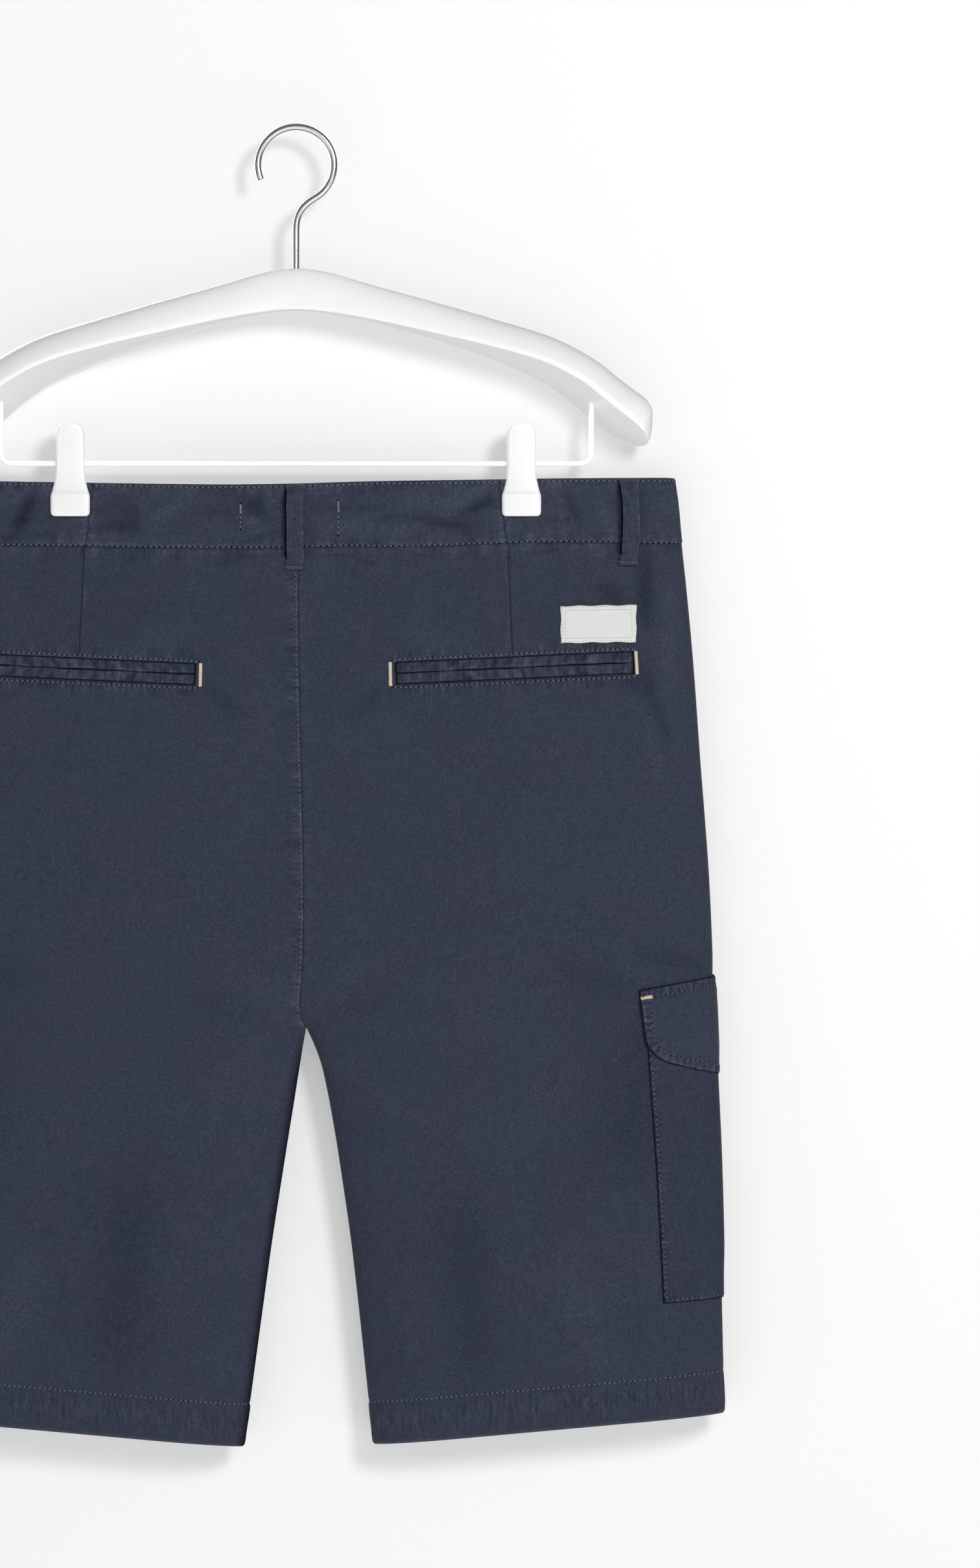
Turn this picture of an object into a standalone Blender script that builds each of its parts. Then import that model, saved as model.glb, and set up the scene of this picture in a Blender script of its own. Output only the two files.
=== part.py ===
"""Cargo shorts hung by the waist from a clip hanger.

Run with: blender --background --python part.py, or from Blender's text editor.

The shorts hang flat: the back faces -Y, the front faces +Y, and +X is the wearer's right.
Sizes below are in millimetres. The origin is the underside of the hanger hook's crown, where
the hook rests on a rail. Every piece of cloth is a wall worked out from one set of level
sections: a flattened tube round both hips, which splits at the crotch into two legs.
"""

import math
from functools import lru_cache

import bmesh
import bpy
import numpy as np
from mathutils import Vector

MM = 0.001

# ---------------------------------------------------------------- driving sizes, millimetres

SEAM_GAP = 0.3  # between two pieces that are sewn together
LAID_GAP = 0.4  # under a piece that is laid on a panel, whose facets differ from its own
INSEAM_GAP = 0.4  # at the inner fold of a leg, where the wall's inside closes up
CLOTH = 1.3  # wall of a single panel
BAND = 2.2  # wall of the waistband
BAND_PROUD = 0.6  # the waistband stands this far out of the panels below it
HEM = 1.9  # wall of the turned-up hem
TAPE = 1.6  # wall of a belt loop
FLAP = 1.3  # wall of the cargo pocket's flap
PATCH = 1.0  # wall of the cargo pocket

WAIST_TOP = -202.6  # top edge of the waistband at the middle of the back
WAIST_SEAM = -239.2  # where the waistband meets the panels
CROTCH = -514.4  # where the four inner corners meet
HEM_LINE = -743.0
HEM_TURN = 25.0  # depth of the turned-up hem
HEM_SLANT = 0.09  # the hem rises outwards, square to the leg
LEG_MIDDLE = 145.0
FRONT_DIP = 4.0  # the front waist is this much lower than the back
SADDLE = 78.0  # height over which the middle seam curves under to the crotch
FOLD_RADIUS = 4.2  # of the cloth where a hanging tube folds over at its edge
SIDE_SEAM = -6.0  # distance round the edge fold to the side seam, on the front

# The outer edge of the hips and legs at each height.
SIDE_EDGE = (  # height, half width
    (-199.0, 216.1), (-240.0, 220.8), (-304.0, 227.2), (-363.0, 231.6), (-422.0, 236.1),
    (-468.0, 238.3), (-482.0, 238.4), (-490.0, 237.9), (-500.0, 237.8), (-541.0, 239.5),
    (-592.0, 241.7), (-660.0, 243.4), (-760.0, 245.6),
)
# Half the depth of the hanging tube, front to back.
TUBE_DEPTH = (  # height, half depth
    (-199.0, 5.7), (-245.0, 5.9), (-304.0, 10.2), (-363.0, 13.5), (-422.0, 15.0),
    (-482.0, 16.0), (-541.0, 16.0), (-600.0, 15.5), (-660.0, 15.0), (-760.0, 14.2),
)
# The middle seam, front and back, wanders a little as the cloth hangs.
MIDDLE_SEAM = (  # height, x
    (-199.0, 0.0), (-240.0, 1.2), (-304.0, 1.9), (-392.0, 4.0), (-445.0, 4.8),
    (-482.0, 3.9), (-500.0, 2.4), (-508.0, 3.2), (CROTCH, 6.0),
)
# The inner edge of each leg below the crotch.
RIGHT_INSEAM = (  # height, x
    (CROTCH, 6.0), (-524.0, 10.4), (-535.0, 14.4), (-547.0, 17.2), (-563.0, 20.4),
    (-591.0, 25.2), (-640.0, 32.5), (-760.0, 46.0),
)
LEFT_INSEAM = (  # height, x
    (CROTCH, 6.0), (-524.0, 4.2), (-552.0, -0.4), (-591.0, -7.0), (-640.0, -15.0),
    (-760.0, -32.0),
)
# How far the waist is lifted along its width, because it hangs between two clips.
WAIST_LIFT = (  # x, lift
    (-240.0, 2.4), (-129.0, 0.8), (-45.0, -0.5), (0.0, 0.0), (40.0, 1.2), (113.0, 2.5),
    (150.0, 3.1), (240.0, 3.3),
)
# Soft folds of the hanging cloth, each a trough or ridge along a line.
FOLDS = (  # face, x and height at both ends, half width, rise out of the surface
    ("back", 8.0, -360.0, 40.0, -435.0, 17.0, -1.3),
    ("back", -6.0, -350.0, -34.0, -440.0, 19.0, -1.1),
    ("back", 205.0, -318.0, 224.0, -362.0, 9.0, 1.0),
    ("back", 60.0, -470.0, 190.0, -448.0, 30.0, 0.9),
    ("back", 190.0, -560.0, 90.0, -610.0, 24.0, -1.2),
    ("back", -196.0, -322.0, -222.0, -370.0, 10.0, 1.0),
    ("back", -70.0, -560.0, -180.0, -640.0, 26.0, -1.1),
    ("back", 70.0, -246.0, 76.0, -292.0, 8.0, -0.7),
    ("front", 10.0, -430.0, 74.0, -470.0, 20.0, 1.2),
    ("front", -12.0, -440.0, -80.0, -476.0, 20.0, 1.1),
    ("front", 110.0, -300.0, 60.0, -400.0, 24.0, -1.0),
    ("front", -116.0, -310.0, -64.0, -404.0, 22.0, -1.1),
    ("front", 170.0, -560.0, 110.0, -680.0, 26.0, -1.0),
    ("front", -160.0, -570.0, -96.0, -690.0, 24.0, 1.0),
)

# Levels of the panels' rows, and steps of their columns in from a folded edge.
ROWS = (
    -239.2, -252.0, -268.0, -290.0, -312.0, -336.0, -365.0, -400.0, -435.0, -465.0, -486.0,
    -498.0, -508.0, CROTCH, -521.0, -531.0, -545.0, -565.0, -592.0, -625.0, -660.0, -692.0,
    HEM_LINE + HEM_TURN + 1.0, HEM_LINE + HEM_TURN - 1.0, HEM_LINE,
)
FOLD_STEPS = (1.6, 3.6, 6.5, 11.0, 18.0, 28.0)
ROUND_EDGE = (28.0, 18.0, 11.0, 6.5, 3.6, 1.6, 0.0, -1.6, -3.6, -6.5, -11.0)
FRONT_STEPS = (-44.0, -60.0, -77.0, -94.0, -111.0)
MIDDLE_COLUMNS = {"back": 7, "front": 4}

# Hanger.
CLIP_X = 129.0
CLIP_FLAT = 12.0  # half the width over which the waist is pressed flat
CLIP_PINCH = 3.6  # how much the clip takes off the half depth
PINCH_SPREAD = 44.0
PINCH_END = -340.0
WIRE = 2.9  # diameter of the trouser bar
BAR_Z = -191.0
BAR_X = 169.0  # the bar's upright ends
BAR_BEND = 6.0
BAR_TOP = -146.0
HOOK_WIRE = 3.6
HOOK_INNER = 20.0  # inner radius of the hook
HOOK_FOOT = -92.0
SOCKET_SLACK = 0.35

# Each arm from the middle to the tip, along the flat underside.
ARM = (  # x, height of the underside, half width, section height, tilt in degrees
    (0.0, -103.0, 7.5, 24.0, 0.0), (14.0, -104.0, 7.8, 23.0, 0.0),
    (40.0, -108.5, 9.0, 20.0, 2.0), (75.0, -117.0, 11.0, 19.0, 6.0),
    (110.0, -127.0, 14.0, 19.0, 11.5), (140.0, -137.9, 16.6, 20.5, 17.0),
    (160.0, -149.6, 18.2, 21.4, 20.0), (171.0, -158.7, 18.7, 21.6, 20.5),
    (180.0, -165.9, 18.7, 21.3, 20.0), (186.6, -170.6, 18.0, 20.5, 19.5),
    (192.0, -174.0, 15.4, 17.4, 19.0), (196.4, -175.9, 10.2, 11.8, 18.0),
    (199.4, -176.8, 4.4, 5.0, 17.0),
)
ARM_SIDES = 14

# Jaw of a clip.
JAW = (  # height, half width, outer face, inner face
    (-167.6, 2.2, 5.2, 3.4), (-168.9, 5.0, 5.6, 3.1), (-171.4, 7.1, 5.8, 2.9),
    (-175.6, 8.2, 5.9, 2.9), (-187.0, 8.1, 5.9, 2.9), (-188.6, 8.1, 5.9, 1.8),
    (-193.4, 8.0, 5.8, 1.8), (-195.0, 7.9, 5.7, 3.1), (-199.0, 7.8, 5.7, 3.1),
    (-203.0, 8.4, 5.7, 3.1), (-207.6, 10.2, 5.8, 3.1), (-208.4, 11.1, 6.6, 3.1),
    (-219.4, 11.2, 6.7, 3.1), (-220.8, 10.6, 6.4, 3.1), (-221.3, 9.6, 5.9, 3.3),
)

# Waistband: the seam beside each clip leans outwards as it goes down.
BAND_SEAM_TOP = 116.1
BAND_SEAM_FOOT = 120.4
OVERLAP_END = 20.0  # the left end of the waistband reaches this far past the middle
UNDERLAP_END = -16.0  # and the right end runs on under it to here
UNDERLAP_RAMP = 12.0

# Belt loops.
LOOP_WIDTH = 10.4
LOOP_LENGTH = 48.8
LOOP_ARCH = 5.2  # clear height under a loop, for a belt
BACK_LOOP_X = 190.0
FRONT_LOOP_X = 80.0
MIDDLE_LOOP_X = -0.8
LOOP_BOW = 1.4  # a loop leans sideways at its middle

# Welt pocket on each back.
WELT_X = 124.7
WELT_Z = -308.3
WELT_LENGTH = 135.0
WELT_HEIGHT = 12.4
WELT_TILT = math.radians(2.35)
WELT_SUNK = 0.3
WELT_WALL = 1.8

# Label on the right back.
LABEL_X = 172.9
LABEL_Z = -285.1
LABEL_SIZE = (43.1, 20.4)
LABEL_WALL = 0.8

# Cargo pocket: s is the distance round the leg from its outer edge, + towards the back.
POCKET_BACK = 43.2  # at its top
POCKET_BACK_FOOT = 38.6
POCKET_FRONT = -111.0
POCKET_FOOT = -675.0
FLAP_BACK = 46.8
FLAP_BACK_FOOT = 44.2
FLAP_FRONT = -117.0
FLAP_FRONT_FOOT = -113.7
FLAP_TOP = -483.8  # at the leg's outer edge
FLAP_SLOPE = 0.17
FLAP_LOW = -543.5
FLAP_LOW_S = -36.0
FLAP_CURVE = 0.0022
FLAP_CORNER = (14.0, 11.0)
FLAP_SEWN = 2.0  # the top of the flap lies on the leg, and below that it rises over the pocket
FLAP_RISE = 6.5
POCKET_BELOW_FLAP = 13.0

BUTTON_RADIUS = 8.5
BUTTON_HEIGHT = 2.8

CLOTH_COLOUR = (0.036, 0.041, 0.066, 1.0)
TRIM_COLOUR = (0.045, 0.051, 0.080, 1.0)
LABEL_COLOUR = (0.62, 0.66, 0.62, 1.0)
PLASTIC_COLOUR = (0.90, 0.90, 0.88, 1.0)
STEEL_COLOUR = (0.62, 0.62, 0.63, 1.0)
BUTTON_COLOUR = (0.025, 0.027, 0.040, 1.0)


# ---------------------------------------------------------------- the hanging form

def along(table, at):
    """Value of a two-column table at a height or an x, on a smooth curve through its rows."""
    keys = [row[0] for row in table]
    values = [row[1] for row in table]
    if keys[0] > keys[-1]:
        keys, values = keys[::-1], values[::-1]
    at = min(max(at, keys[0]), keys[-1])
    i = min(max(int(np.searchsorted(keys, at)) - 1, 0), len(keys) - 2)
    step = keys[i + 1] - keys[i]

    def slope(j):
        low, high = max(j - 1, 0), min(j + 1, len(keys) - 1)
        return (values[high] - values[low]) / (keys[high] - keys[low])

    t = (at - keys[i]) / step
    return (
        (2 * t**3 - 3 * t**2 + 1) * values[i]
        + (t**3 - 2 * t**2 + t) * step * slope(i)
        + (3 * t**2 - 2 * t**3) * values[i + 1]
        + (t**3 - t**2) * step * slope(i + 1)
    )


def ease(t):
    """0 to 1 with level ends."""
    t = np.clip(t, 0.0, 1.0)
    return t * t * (3 - 2 * t)


def inner_edge(z, side):
    """Distance of a half's inner edge from x = 0, outwards: the middle seam, or the inseam."""
    if z > CROTCH:
        return side * along(MIDDLE_SEAM, z)
    return side * along(RIGHT_INSEAM if side > 0 else LEFT_INSEAM, z)


def openness(z):
    """1 where the tube runs on across the middle, down to 0 where it closes at the crotch."""
    up = min(max((z - CROTCH) / SADDLE, 0.0), 1.0)
    return math.sin(math.pi / 2 * up) ** 0.8


def depth_at(x, z):
    """Half depth of the tube before its edges round off. The clips press the waist flat."""
    beside = np.maximum(np.abs(np.abs(x) - CLIP_X) - CLIP_FLAT, 0.0) / PINCH_SPREAD
    pinch = CLIP_PINCH * (1 - ease((-245.0 - z) / (-245.0 - PINCH_END)))
    return along(TUBE_DEPTH, z) - pinch * np.exp(-beside * beside)


def rounding(inwards, depth):
    """Share of the depth at a distance in from a folded edge: a quarter ellipse."""
    reach = depth * depth / FOLD_RADIUS
    return np.sqrt(np.maximum(0.0, 1 - (1 - np.clip(inwards / reach, 0.0, 1.0)) ** 2))


def fold_height(x, z, face):
    """Sum of the soft folds at a place on the back or the front."""
    total = np.zeros_like(x)
    for where, x0, z0, x1, z1, width, rise in FOLDS:
        if where != face:
            continue
        length = math.hypot(x1 - x0, z1 - z0)
        run, drop = (x1 - x0) / length, (z1 - z0) / length
        lengthwise = ((x - x0) * run + (z - z0) * drop) / length
        across = (-(x - x0) * drop + (z - z0) * run) / width
        ends = ease(lengthwise * 2 + 0.4) * ease((1 - lengthwise) * 2 + 0.4)
        total = total + rise * np.exp(-across * across) * ends
    return total


@lru_cache(maxsize=None)
def half_ring(z, side):
    """Level section of one half, as arrays: s, x, y and the outward normal.

    s is the distance along the section from the outer edge: + on the back, - on the front.
    """
    outer = along(SIDE_EDGE, z)
    inner = inner_edge(z, side) + SEAM_GAP / 2
    q = np.linspace(0.0, 1.0, 181)
    x = inner + (outer - inner) * (1 - np.cos(math.pi * q)) / 2
    depth = depth_at(x, z)
    open_share = openness(z)
    shape = rounding(outer - x, depth)
    shape = shape * (open_share + (1 - open_share) * rounding(x - inner, depth))
    back = depth * shape + fold_height(side * x, z, "back") * shape
    front = depth * shape + fold_height(side * x, z, "front") * shape
    px = np.concatenate([x, x[-2::-1]])
    py = np.concatenate([-back, front[-2::-1]])
    run = np.concatenate([[0.0], np.cumsum(np.hypot(np.diff(px), np.diff(py)))])
    tx, ty = np.gradient(px), np.gradient(py)
    size = np.hypot(tx, ty)
    # The path runs from the back inwards edge, round the side, to the front.
    return run[len(x) - 1] - run, side * px, py, side * ty / size, -tx / size


def on_ring(z, side, s, out):
    """A point of the section at s, moved out of the cloth by out."""
    along_s, x, y, nx, ny = (a[::-1] for a in half_ring(round(z, 4), side))
    px, py = np.interp(s, along_s, x), np.interp(s, along_s, y)
    dx, dy = np.interp(s, along_s, nx), np.interp(s, along_s, ny)
    size = math.hypot(dx, dy)
    return px + out * dx / size, py + out * dy / size


def ends_of_ring(z, side):
    """s at the inner edge, on the back and on the front."""
    s = half_ring(round(z, 4), side)[0]
    return s[0], s[-1]


def s_at_x(z, x, face):
    """s of the place on the back or front with this x, away from the folded edges."""
    side = 1 if x >= inner_edge(z, 1) else -1
    along_s, xs, ys, _, _ = half_ring(round(z, 4), side)
    middle = int(np.argmin(np.abs(along_s)))
    part = slice(0, middle + 1) if face == "back" else slice(middle, len(xs))
    order = np.argsort(xs[part])
    return side, float(np.interp(x, xs[part][order], along_s[part][order]))


def on_face(x, z, face, out):
    """A point of the back or the front at x and z, moved out of the cloth by out."""
    side, s = s_at_x(z, x, face)
    px, py = on_ring(z, side, s, out)
    return px, py, z


def waist_lift(x, z):
    """The waist's lift at x, dying away down the panels."""
    return along(WAIST_LIFT, x) * (1 - ease((WAIST_SEAM - z) / 110.0))


def hem_lift(x, z):
    """The hem's slant, dying away up the leg."""
    return HEM_SLANT * (abs(x) - LEG_MIDDLE) * ease((CROTCH - z) / (CROTCH - HEM_LINE))


def settled(x, y, z):
    """A point of the level sections with the waist's and the hem's own slant."""
    return Vector((x, y, z + waist_lift(x, z) + hem_lift(x, z))) * MM


# ---------------------------------------------------------------- Blender helpers

def clear_scene():
    for old in list(bpy.data.objects):
        bpy.data.objects.remove(old)


def make_collection(name):
    made = bpy.data.collections.new(name)
    bpy.context.scene.collection.children.link(made)
    return made


def make_material(name, colour, roughness, metallic=0.0):
    made = bpy.data.materials.new(name)
    made.use_nodes = True
    made.diffuse_color = colour
    shader = made.node_tree.nodes["Principled BSDF"]
    shader.inputs["Base Color"].default_value = colour
    shader.inputs["Roughness"].default_value = roughness
    shader.inputs["Metallic"].default_value = metallic
    return made


def add_object(name, data, material, collection, smooth_angle=35.0):
    made = bpy.data.objects.new(name, data)
    made.data.materials.append(material)
    collection.objects.link(made)
    if made.type == "MESH":
        made.data.shade_smooth()
        made.data.set_sharp_from_angle(angle=math.radians(smooth_angle))
    return made


def closed_mesh(name, bm):
    """A mesh of a closed shape, with its faces turned outwards."""
    bmesh.ops.recalc_face_normals(bm, faces=bm.faces)
    if bm.calc_volume(signed=True) < 0:
        bmesh.ops.reverse_faces(bm, faces=bm.faces)
    mesh = bpy.data.meshes.new(name)
    bm.to_mesh(mesh)
    bm.free()
    return mesh


def mapped_wall(columns, rows, place):
    """A closed wall: a flat grid given thickness, with each point then put at place(u, v, w).

    u runs over the columns and v over the rows, both 0 to 1, and w is 0 outside and 1 inside.
    """
    bm = bmesh.new()
    bmesh.ops.create_grid(bm, x_segments=columns, y_segments=rows, size=0.5)
    bmesh.ops.solidify(bm, geom=list(bm.faces), thickness=1.0)
    heights = [v.co.z for v in bm.verts]
    top, foot = max(heights), min(heights)
    for vert in bm.verts:
        u, v = vert.co.x + 0.5, 0.5 - vert.co.y
        w = (top - vert.co.z) / (top - foot)
        vert.co = place(u, v, w)
    return closed_mesh("wall", bm)


def mapped_tube(around, lengthwise, place):
    """A closed tube with flat ends: a grid rolled up, place(u, v) with u round and v along."""
    bm = bmesh.new()
    bmesh.ops.create_grid(bm, x_segments=around, y_segments=lengthwise, size=0.5)
    for vert in bm.verts:
        vert.co = place((vert.co.x + 0.5) % 1.0, vert.co.y + 0.5)
    bmesh.ops.remove_doubles(bm, verts=bm.verts, dist=1e-6)
    bmesh.ops.holes_fill(bm, edges=[e for e in bm.edges if e.is_boundary], sides=0)
    return closed_mesh("tube", bm)


def wire(name, points, diameter, material, collection):
    """A bent wire through points in millimetres."""
    data = bpy.data.curves.new(name, "CURVE")
    data.dimensions = "3D"
    data.bevel_depth = diameter / 2 * MM
    data.bevel_resolution = 2
    data.use_fill_caps = True
    spline = data.splines.new("POLY")
    spline.points.add(len(points) - 1)
    for place, point in zip(spline.points, points):
        place.co = (*(Vector(point) * MM), 1.0)
    return add_object(name, data, material, collection)


def rod_cutter(name, x, foot, top, radius, collection):
    """An upright cylinder that cuts a socket. It is a helper and isn't rendered."""
    bm = bmesh.new()
    bmesh.ops.create_cone(
        bm, cap_ends=True, segments=12, radius1=radius * MM, radius2=radius * MM,
        depth=(top - foot) * MM,
    )
    bmesh.ops.translate(bm, verts=bm.verts, vec=Vector((x, 0, (top + foot) / 2)) * MM)
    mesh = bpy.data.meshes.new(name)
    bm.to_mesh(mesh)
    bm.free()
    return add_cutter(name, mesh, collection)


def add_cutter(name, mesh, collection):
    made = bpy.data.objects.new(name, mesh)
    collection.objects.link(made)
    made.hide_render = True
    made.display_type = "WIRE"
    return made


def cut(piece, cutter):
    modifier = piece.modifiers.new("cut " + cutter.name, "BOOLEAN")
    modifier.operation = "DIFFERENCE"
    modifier.object = cutter


def side_name(side):
    return "right" if side > 0 else "left"


# ---------------------------------------------------------------- panels

def panel_columns(z, side, face):
    """s of each column of a panel at a height, from its inner edge to the side seam."""
    back_end, front_end = ends_of_ring(z, side)
    half_gap = INSEAM_GAP / 2 * (1 - openness(z))
    if face == "back":
        inner = [back_end - half_gap] + [back_end - step for step in FOLD_STEPS]
        beside = [44.0, *ROUND_EDGE[:-2], SIDE_SEAM + SEAM_GAP / 2]
    else:
        inner = [front_end + half_gap] + [front_end + step for step in FOLD_STEPS]
        beside = [*FRONT_STEPS[::-1], -28.0, -18.0, -11.0, SIDE_SEAM - SEAM_GAP / 2]
    spread = np.linspace(inner[-1], beside[0], MIDDLE_COLUMNS[face] + 1)[1:-1]
    return [*inner, *spread, *beside]


def panel_mesh(side, face):
    """One leg's front or back: waist seam to hem, middle seam or inseam to side seam."""
    columns = {z: panel_columns(z, side, face) for z in ROWS}
    count = len(columns[ROWS[0]]) - 1

    def place(u, v, w):
        row = round(v * (len(ROWS) - 1))
        z = ROWS[row]
        wall = HEM if z < HEM_LINE + HEM_TURN else CLOTH
        x, y = on_ring(z, side, columns[z][round(u * count)], -wall * w)
        return settled(x, y, z)

    return mapped_wall(count, len(ROWS) - 1, place)


def welt_place(side, across, up, out):
    """A point of the back in the welt pocket's own tilted frame."""
    x = WELT_X + across * math.cos(WELT_TILT) - up * math.sin(WELT_TILT)
    z = WELT_Z + across * math.sin(WELT_TILT) + up * math.cos(WELT_TILT)
    px, py, pz = on_face(side * x, z, "back", out)
    return settled(px, py, pz)


def welt_window(side, helpers):
    """Cuts the window that the two welts fill."""

    def place(u, v, w):
        return welt_place(
            side, (u - 0.5) * WELT_LENGTH, (0.5 - v) * WELT_HEIGHT, 4.0 - 8.0 * w
        )

    name = f"welt_window_{side_name(side)}"
    return add_cutter(name, mapped_wall(12, 1, place), helpers)


def welt_mesh(side, upper):
    height = (WELT_HEIGHT - 3 * SEAM_GAP) / 2
    centre = (height + SEAM_GAP) / 2 * (1 if upper else -1)
    length = WELT_LENGTH - 2 * SEAM_GAP

    def place(u, v, w):
        up = centre + (0.5 - v) * height
        return welt_place(side, (u - 0.5) * length, up, -WELT_SUNK - WELT_WALL * w)

    return mapped_wall(12, 2, place)


def label_mesh():
    width, height = LABEL_SIZE

    def place(u, v, w):
        x, z = LABEL_X + (u - 0.5) * width, LABEL_Z + (0.5 - v) * height
        return settled(*on_face(x, z, "back", LAID_GAP + LABEL_WALL * (1 - w)))

    return mapped_wall(5, 2, place)


# ---------------------------------------------------------------- waistband

def band_level(v, front_share):
    """Height of the waistband's rows: v is 0 at the top edge and 1 at the seam."""
    top = WAIST_TOP - FRONT_DIP * front_share
    return top + (WAIST_SEAM + SEAM_GAP - top) * v


def band_back_mesh():
    """The waistband across the back, between the seams beside the clips."""
    half_gap = SEAM_GAP / 2

    def place(u, v, w):
        end = BAND_SEAM_TOP + (BAND_SEAM_FOOT - BAND_SEAM_TOP) * v - half_gap
        z = band_level(v, 0.0)
        point = on_face((2 * u - 1) * end, z, "back", BAND_PROUD - BAND * w)
        return settled(*point)

    return mapped_wall(22, 3, place)


def band_columns(side):
    """(front or back, x or s) of the waistband's columns from its seam to the front end."""
    back = [(1 - t) for t in np.linspace(0.0, 1.0, 7)]
    beside = [14.0, 8.0, 4.6, 2.2, 0.0, -2.2, -4.6, -8.0, -14.0]
    return back, beside


def band_side_mesh(side):
    """The waistband from the seam beside a clip, round the side, to the middle of the front."""
    half_gap = SEAM_GAP / 2
    back_share, beside = band_columns(side)
    front_x = [190.0, 168.0, 150.0, 129.0, 108.0, 90.0, 70.0, 50.0, 34.0]
    if side > 0:
        front_x += [OVERLAP_END + UNDERLAP_RAMP, OVERLAP_END + 2.0, 10.0, -3.0, UNDERLAP_END]
    else:
        front_x += [20.0, 8.0, -6.0, -OVERLAP_END]
    count = len(back_share) + len(beside) + len(front_x) - 1

    def place(u, v, w):
        i = round(u * count)
        sunk = 0.0
        if i < len(back_share):
            seam = BAND_SEAM_TOP + (BAND_SEAM_FOOT - BAND_SEAM_TOP) * v + half_gap
            z = band_level(v, 0.0)
            _, start = s_at_x(z, side * seam, "back")
            s = beside[0] + (start - beside[0]) * (1 - i / len(back_share))
        elif i < len(back_share) + len(beside):
            s = beside[i - len(back_share)]
            z = band_level(v, ease((beside[0] - s) / 40.0) * 0.1)
        else:
            x = front_x[i - len(back_share) - len(beside)]
            z = band_level(v, 0.1 + 0.9 * (1 - (x / front_x[0]) ** 2) if abs(x) < 190 else 0.1)
            if side > 0:
                sunk = (BAND + SEAM_GAP) * float(ease((OVERLAP_END + UNDERLAP_RAMP - x) / 10.0))
            x, y, z = on_face(side * x, z, "front", BAND_PROUD - sunk - BAND * w)
            return settled(x, y, z)
        x, y = on_ring(z, side, s, BAND_PROUD - BAND * w)
        return settled(x, y, z)

    return mapped_wall(count, 3, place)


def loop_mesh(x, face, bow):
    """A belt loop: sewn flat at both ends, and clear of the waistband between them."""
    top = WAIST_TOP - 0.6
    if face == "front":
        top -= FRONT_DIP * (1 - (x / BACK_LOOP_X) ** 2)

    def place(u, v, w):
        z = top - LOOP_LENGTH * v
        raised = float(ease(v / 0.13) * ease((0.90 - v) / 0.13))
        sewn = BAND_PROUD if z > WAIST_SEAM else 0.0
        under = (sewn + LAID_GAP) * (1 - raised) + (BAND_PROUD + LOOP_ARCH) * raised
        shifted = x + (u - 0.5) * LOOP_WIDTH + bow * math.sin(math.pi * v)
        return settled(*on_face(shifted, z, face, under + TAPE * (1 - w)))

    return mapped_wall(2, 15, place)


# ---------------------------------------------------------------- cargo pockets

def flap_top(s):
    return FLAP_TOP - FLAP_SLOPE * s


def flap_foot(s):
    """The flap's lower edge: a shallow curve with round corners."""
    level = FLAP_LOW + FLAP_CURVE * (s - FLAP_LOW_S) ** 2
    reach, lift = FLAP_CORNER
    end = FLAP_BACK_FOOT if s > FLAP_LOW_S else FLAP_FRONT_FOOT
    into = min(max(1 - abs(end - s) / reach, 0.0), 1.0)
    return level + lift * (1 - math.sqrt(1 - into * into))


def pocket_columns():
    """(s at the top edge, s at the lower edge) of each column of the patch."""
    back = (POCKET_BACK, POCKET_BACK_FOOT)
    rest = [*ROUND_EDGE, -18.0, -28.0, *FRONT_STEPS[:-1], POCKET_FRONT]
    return [back, *((s, s) for s in rest)]


def pocket_mesh(side):
    """The patch of the cargo pocket, wrapped round the leg's outer edge."""
    columns = pocket_columns()
    count = len(columns) - 1

    def place(u, v, w):
        upper, lower = columns[round(u * count)]
        top = flap_top(upper) - POCKET_BELOW_FLAP
        z = top + (POCKET_FOOT - top) * v
        s = upper + (lower - upper) * v
        x, y = on_ring(z, side, s, LAID_GAP + PATCH * (1 - w))
        return settled(x, y, z)

    return mapped_wall(count, 7, place)


def flap_columns():
    """(s at the top edge, s at the lower edge) of each column of the flap."""
    near = [*ROUND_EDGE, -18.0, -28.0, *FRONT_STEPS[:-1]]
    back = [(FLAP_BACK, FLAP_BACK_FOOT), (45.8, 43.2), (43.0, 40.8), (37.4, 36.0)]
    front = [(-104.0, -102.6), (-111.0, -108.6), (-115.6, -112.6), (FLAP_FRONT, FLAP_FRONT_FOOT)]
    return [*back, *((s, s) for s in near), *front]


def flap_mesh(side):
    """The cargo pocket's flap: sewn to the leg at its top, lying over the patch below."""
    columns = flap_columns()
    count = len(columns) - 1
    levels = (0.0, 0.06, 0.18, 0.42, 0.68, 0.88, 1.0)

    def place(u, v, w):
        upper, lower = columns[round(u * count)]
        share = levels[round(v * (len(levels) - 1))]
        top = flap_top(upper)
        z = top + (flap_foot(lower) - top) * share
        s = upper + (lower - upper) * share
        over = (PATCH + LAID_GAP) * float(ease((top - z - FLAP_SEWN) / FLAP_RISE))
        x, y = on_ring(z, side, s, LAID_GAP + over + FLAP * (1 - w))
        return settled(x, y, z)

    return mapped_wall(count, len(levels) - 1, place)


# ---------------------------------------------------------------- hanger

def arm_section(row, around):
    """A point of the hanger arm's D-shaped section: flat underside, round top."""
    _, _, half_width, height, tilt = row
    flat_share = 0.34
    if around < flat_share:
        a = half_width * (1 - 2 * around / flat_share)
        c = 0.0
    else:
        turn = math.pi * (1 - (around - flat_share) / (1 - flat_share))
        a = half_width * math.cos(turn)
        c = height * math.sin(turn) ** 0.85
    lean = math.radians(tilt)
    return a * math.cos(lean) + c * math.sin(lean), c * math.cos(lean) - a * math.sin(lean)


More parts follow.
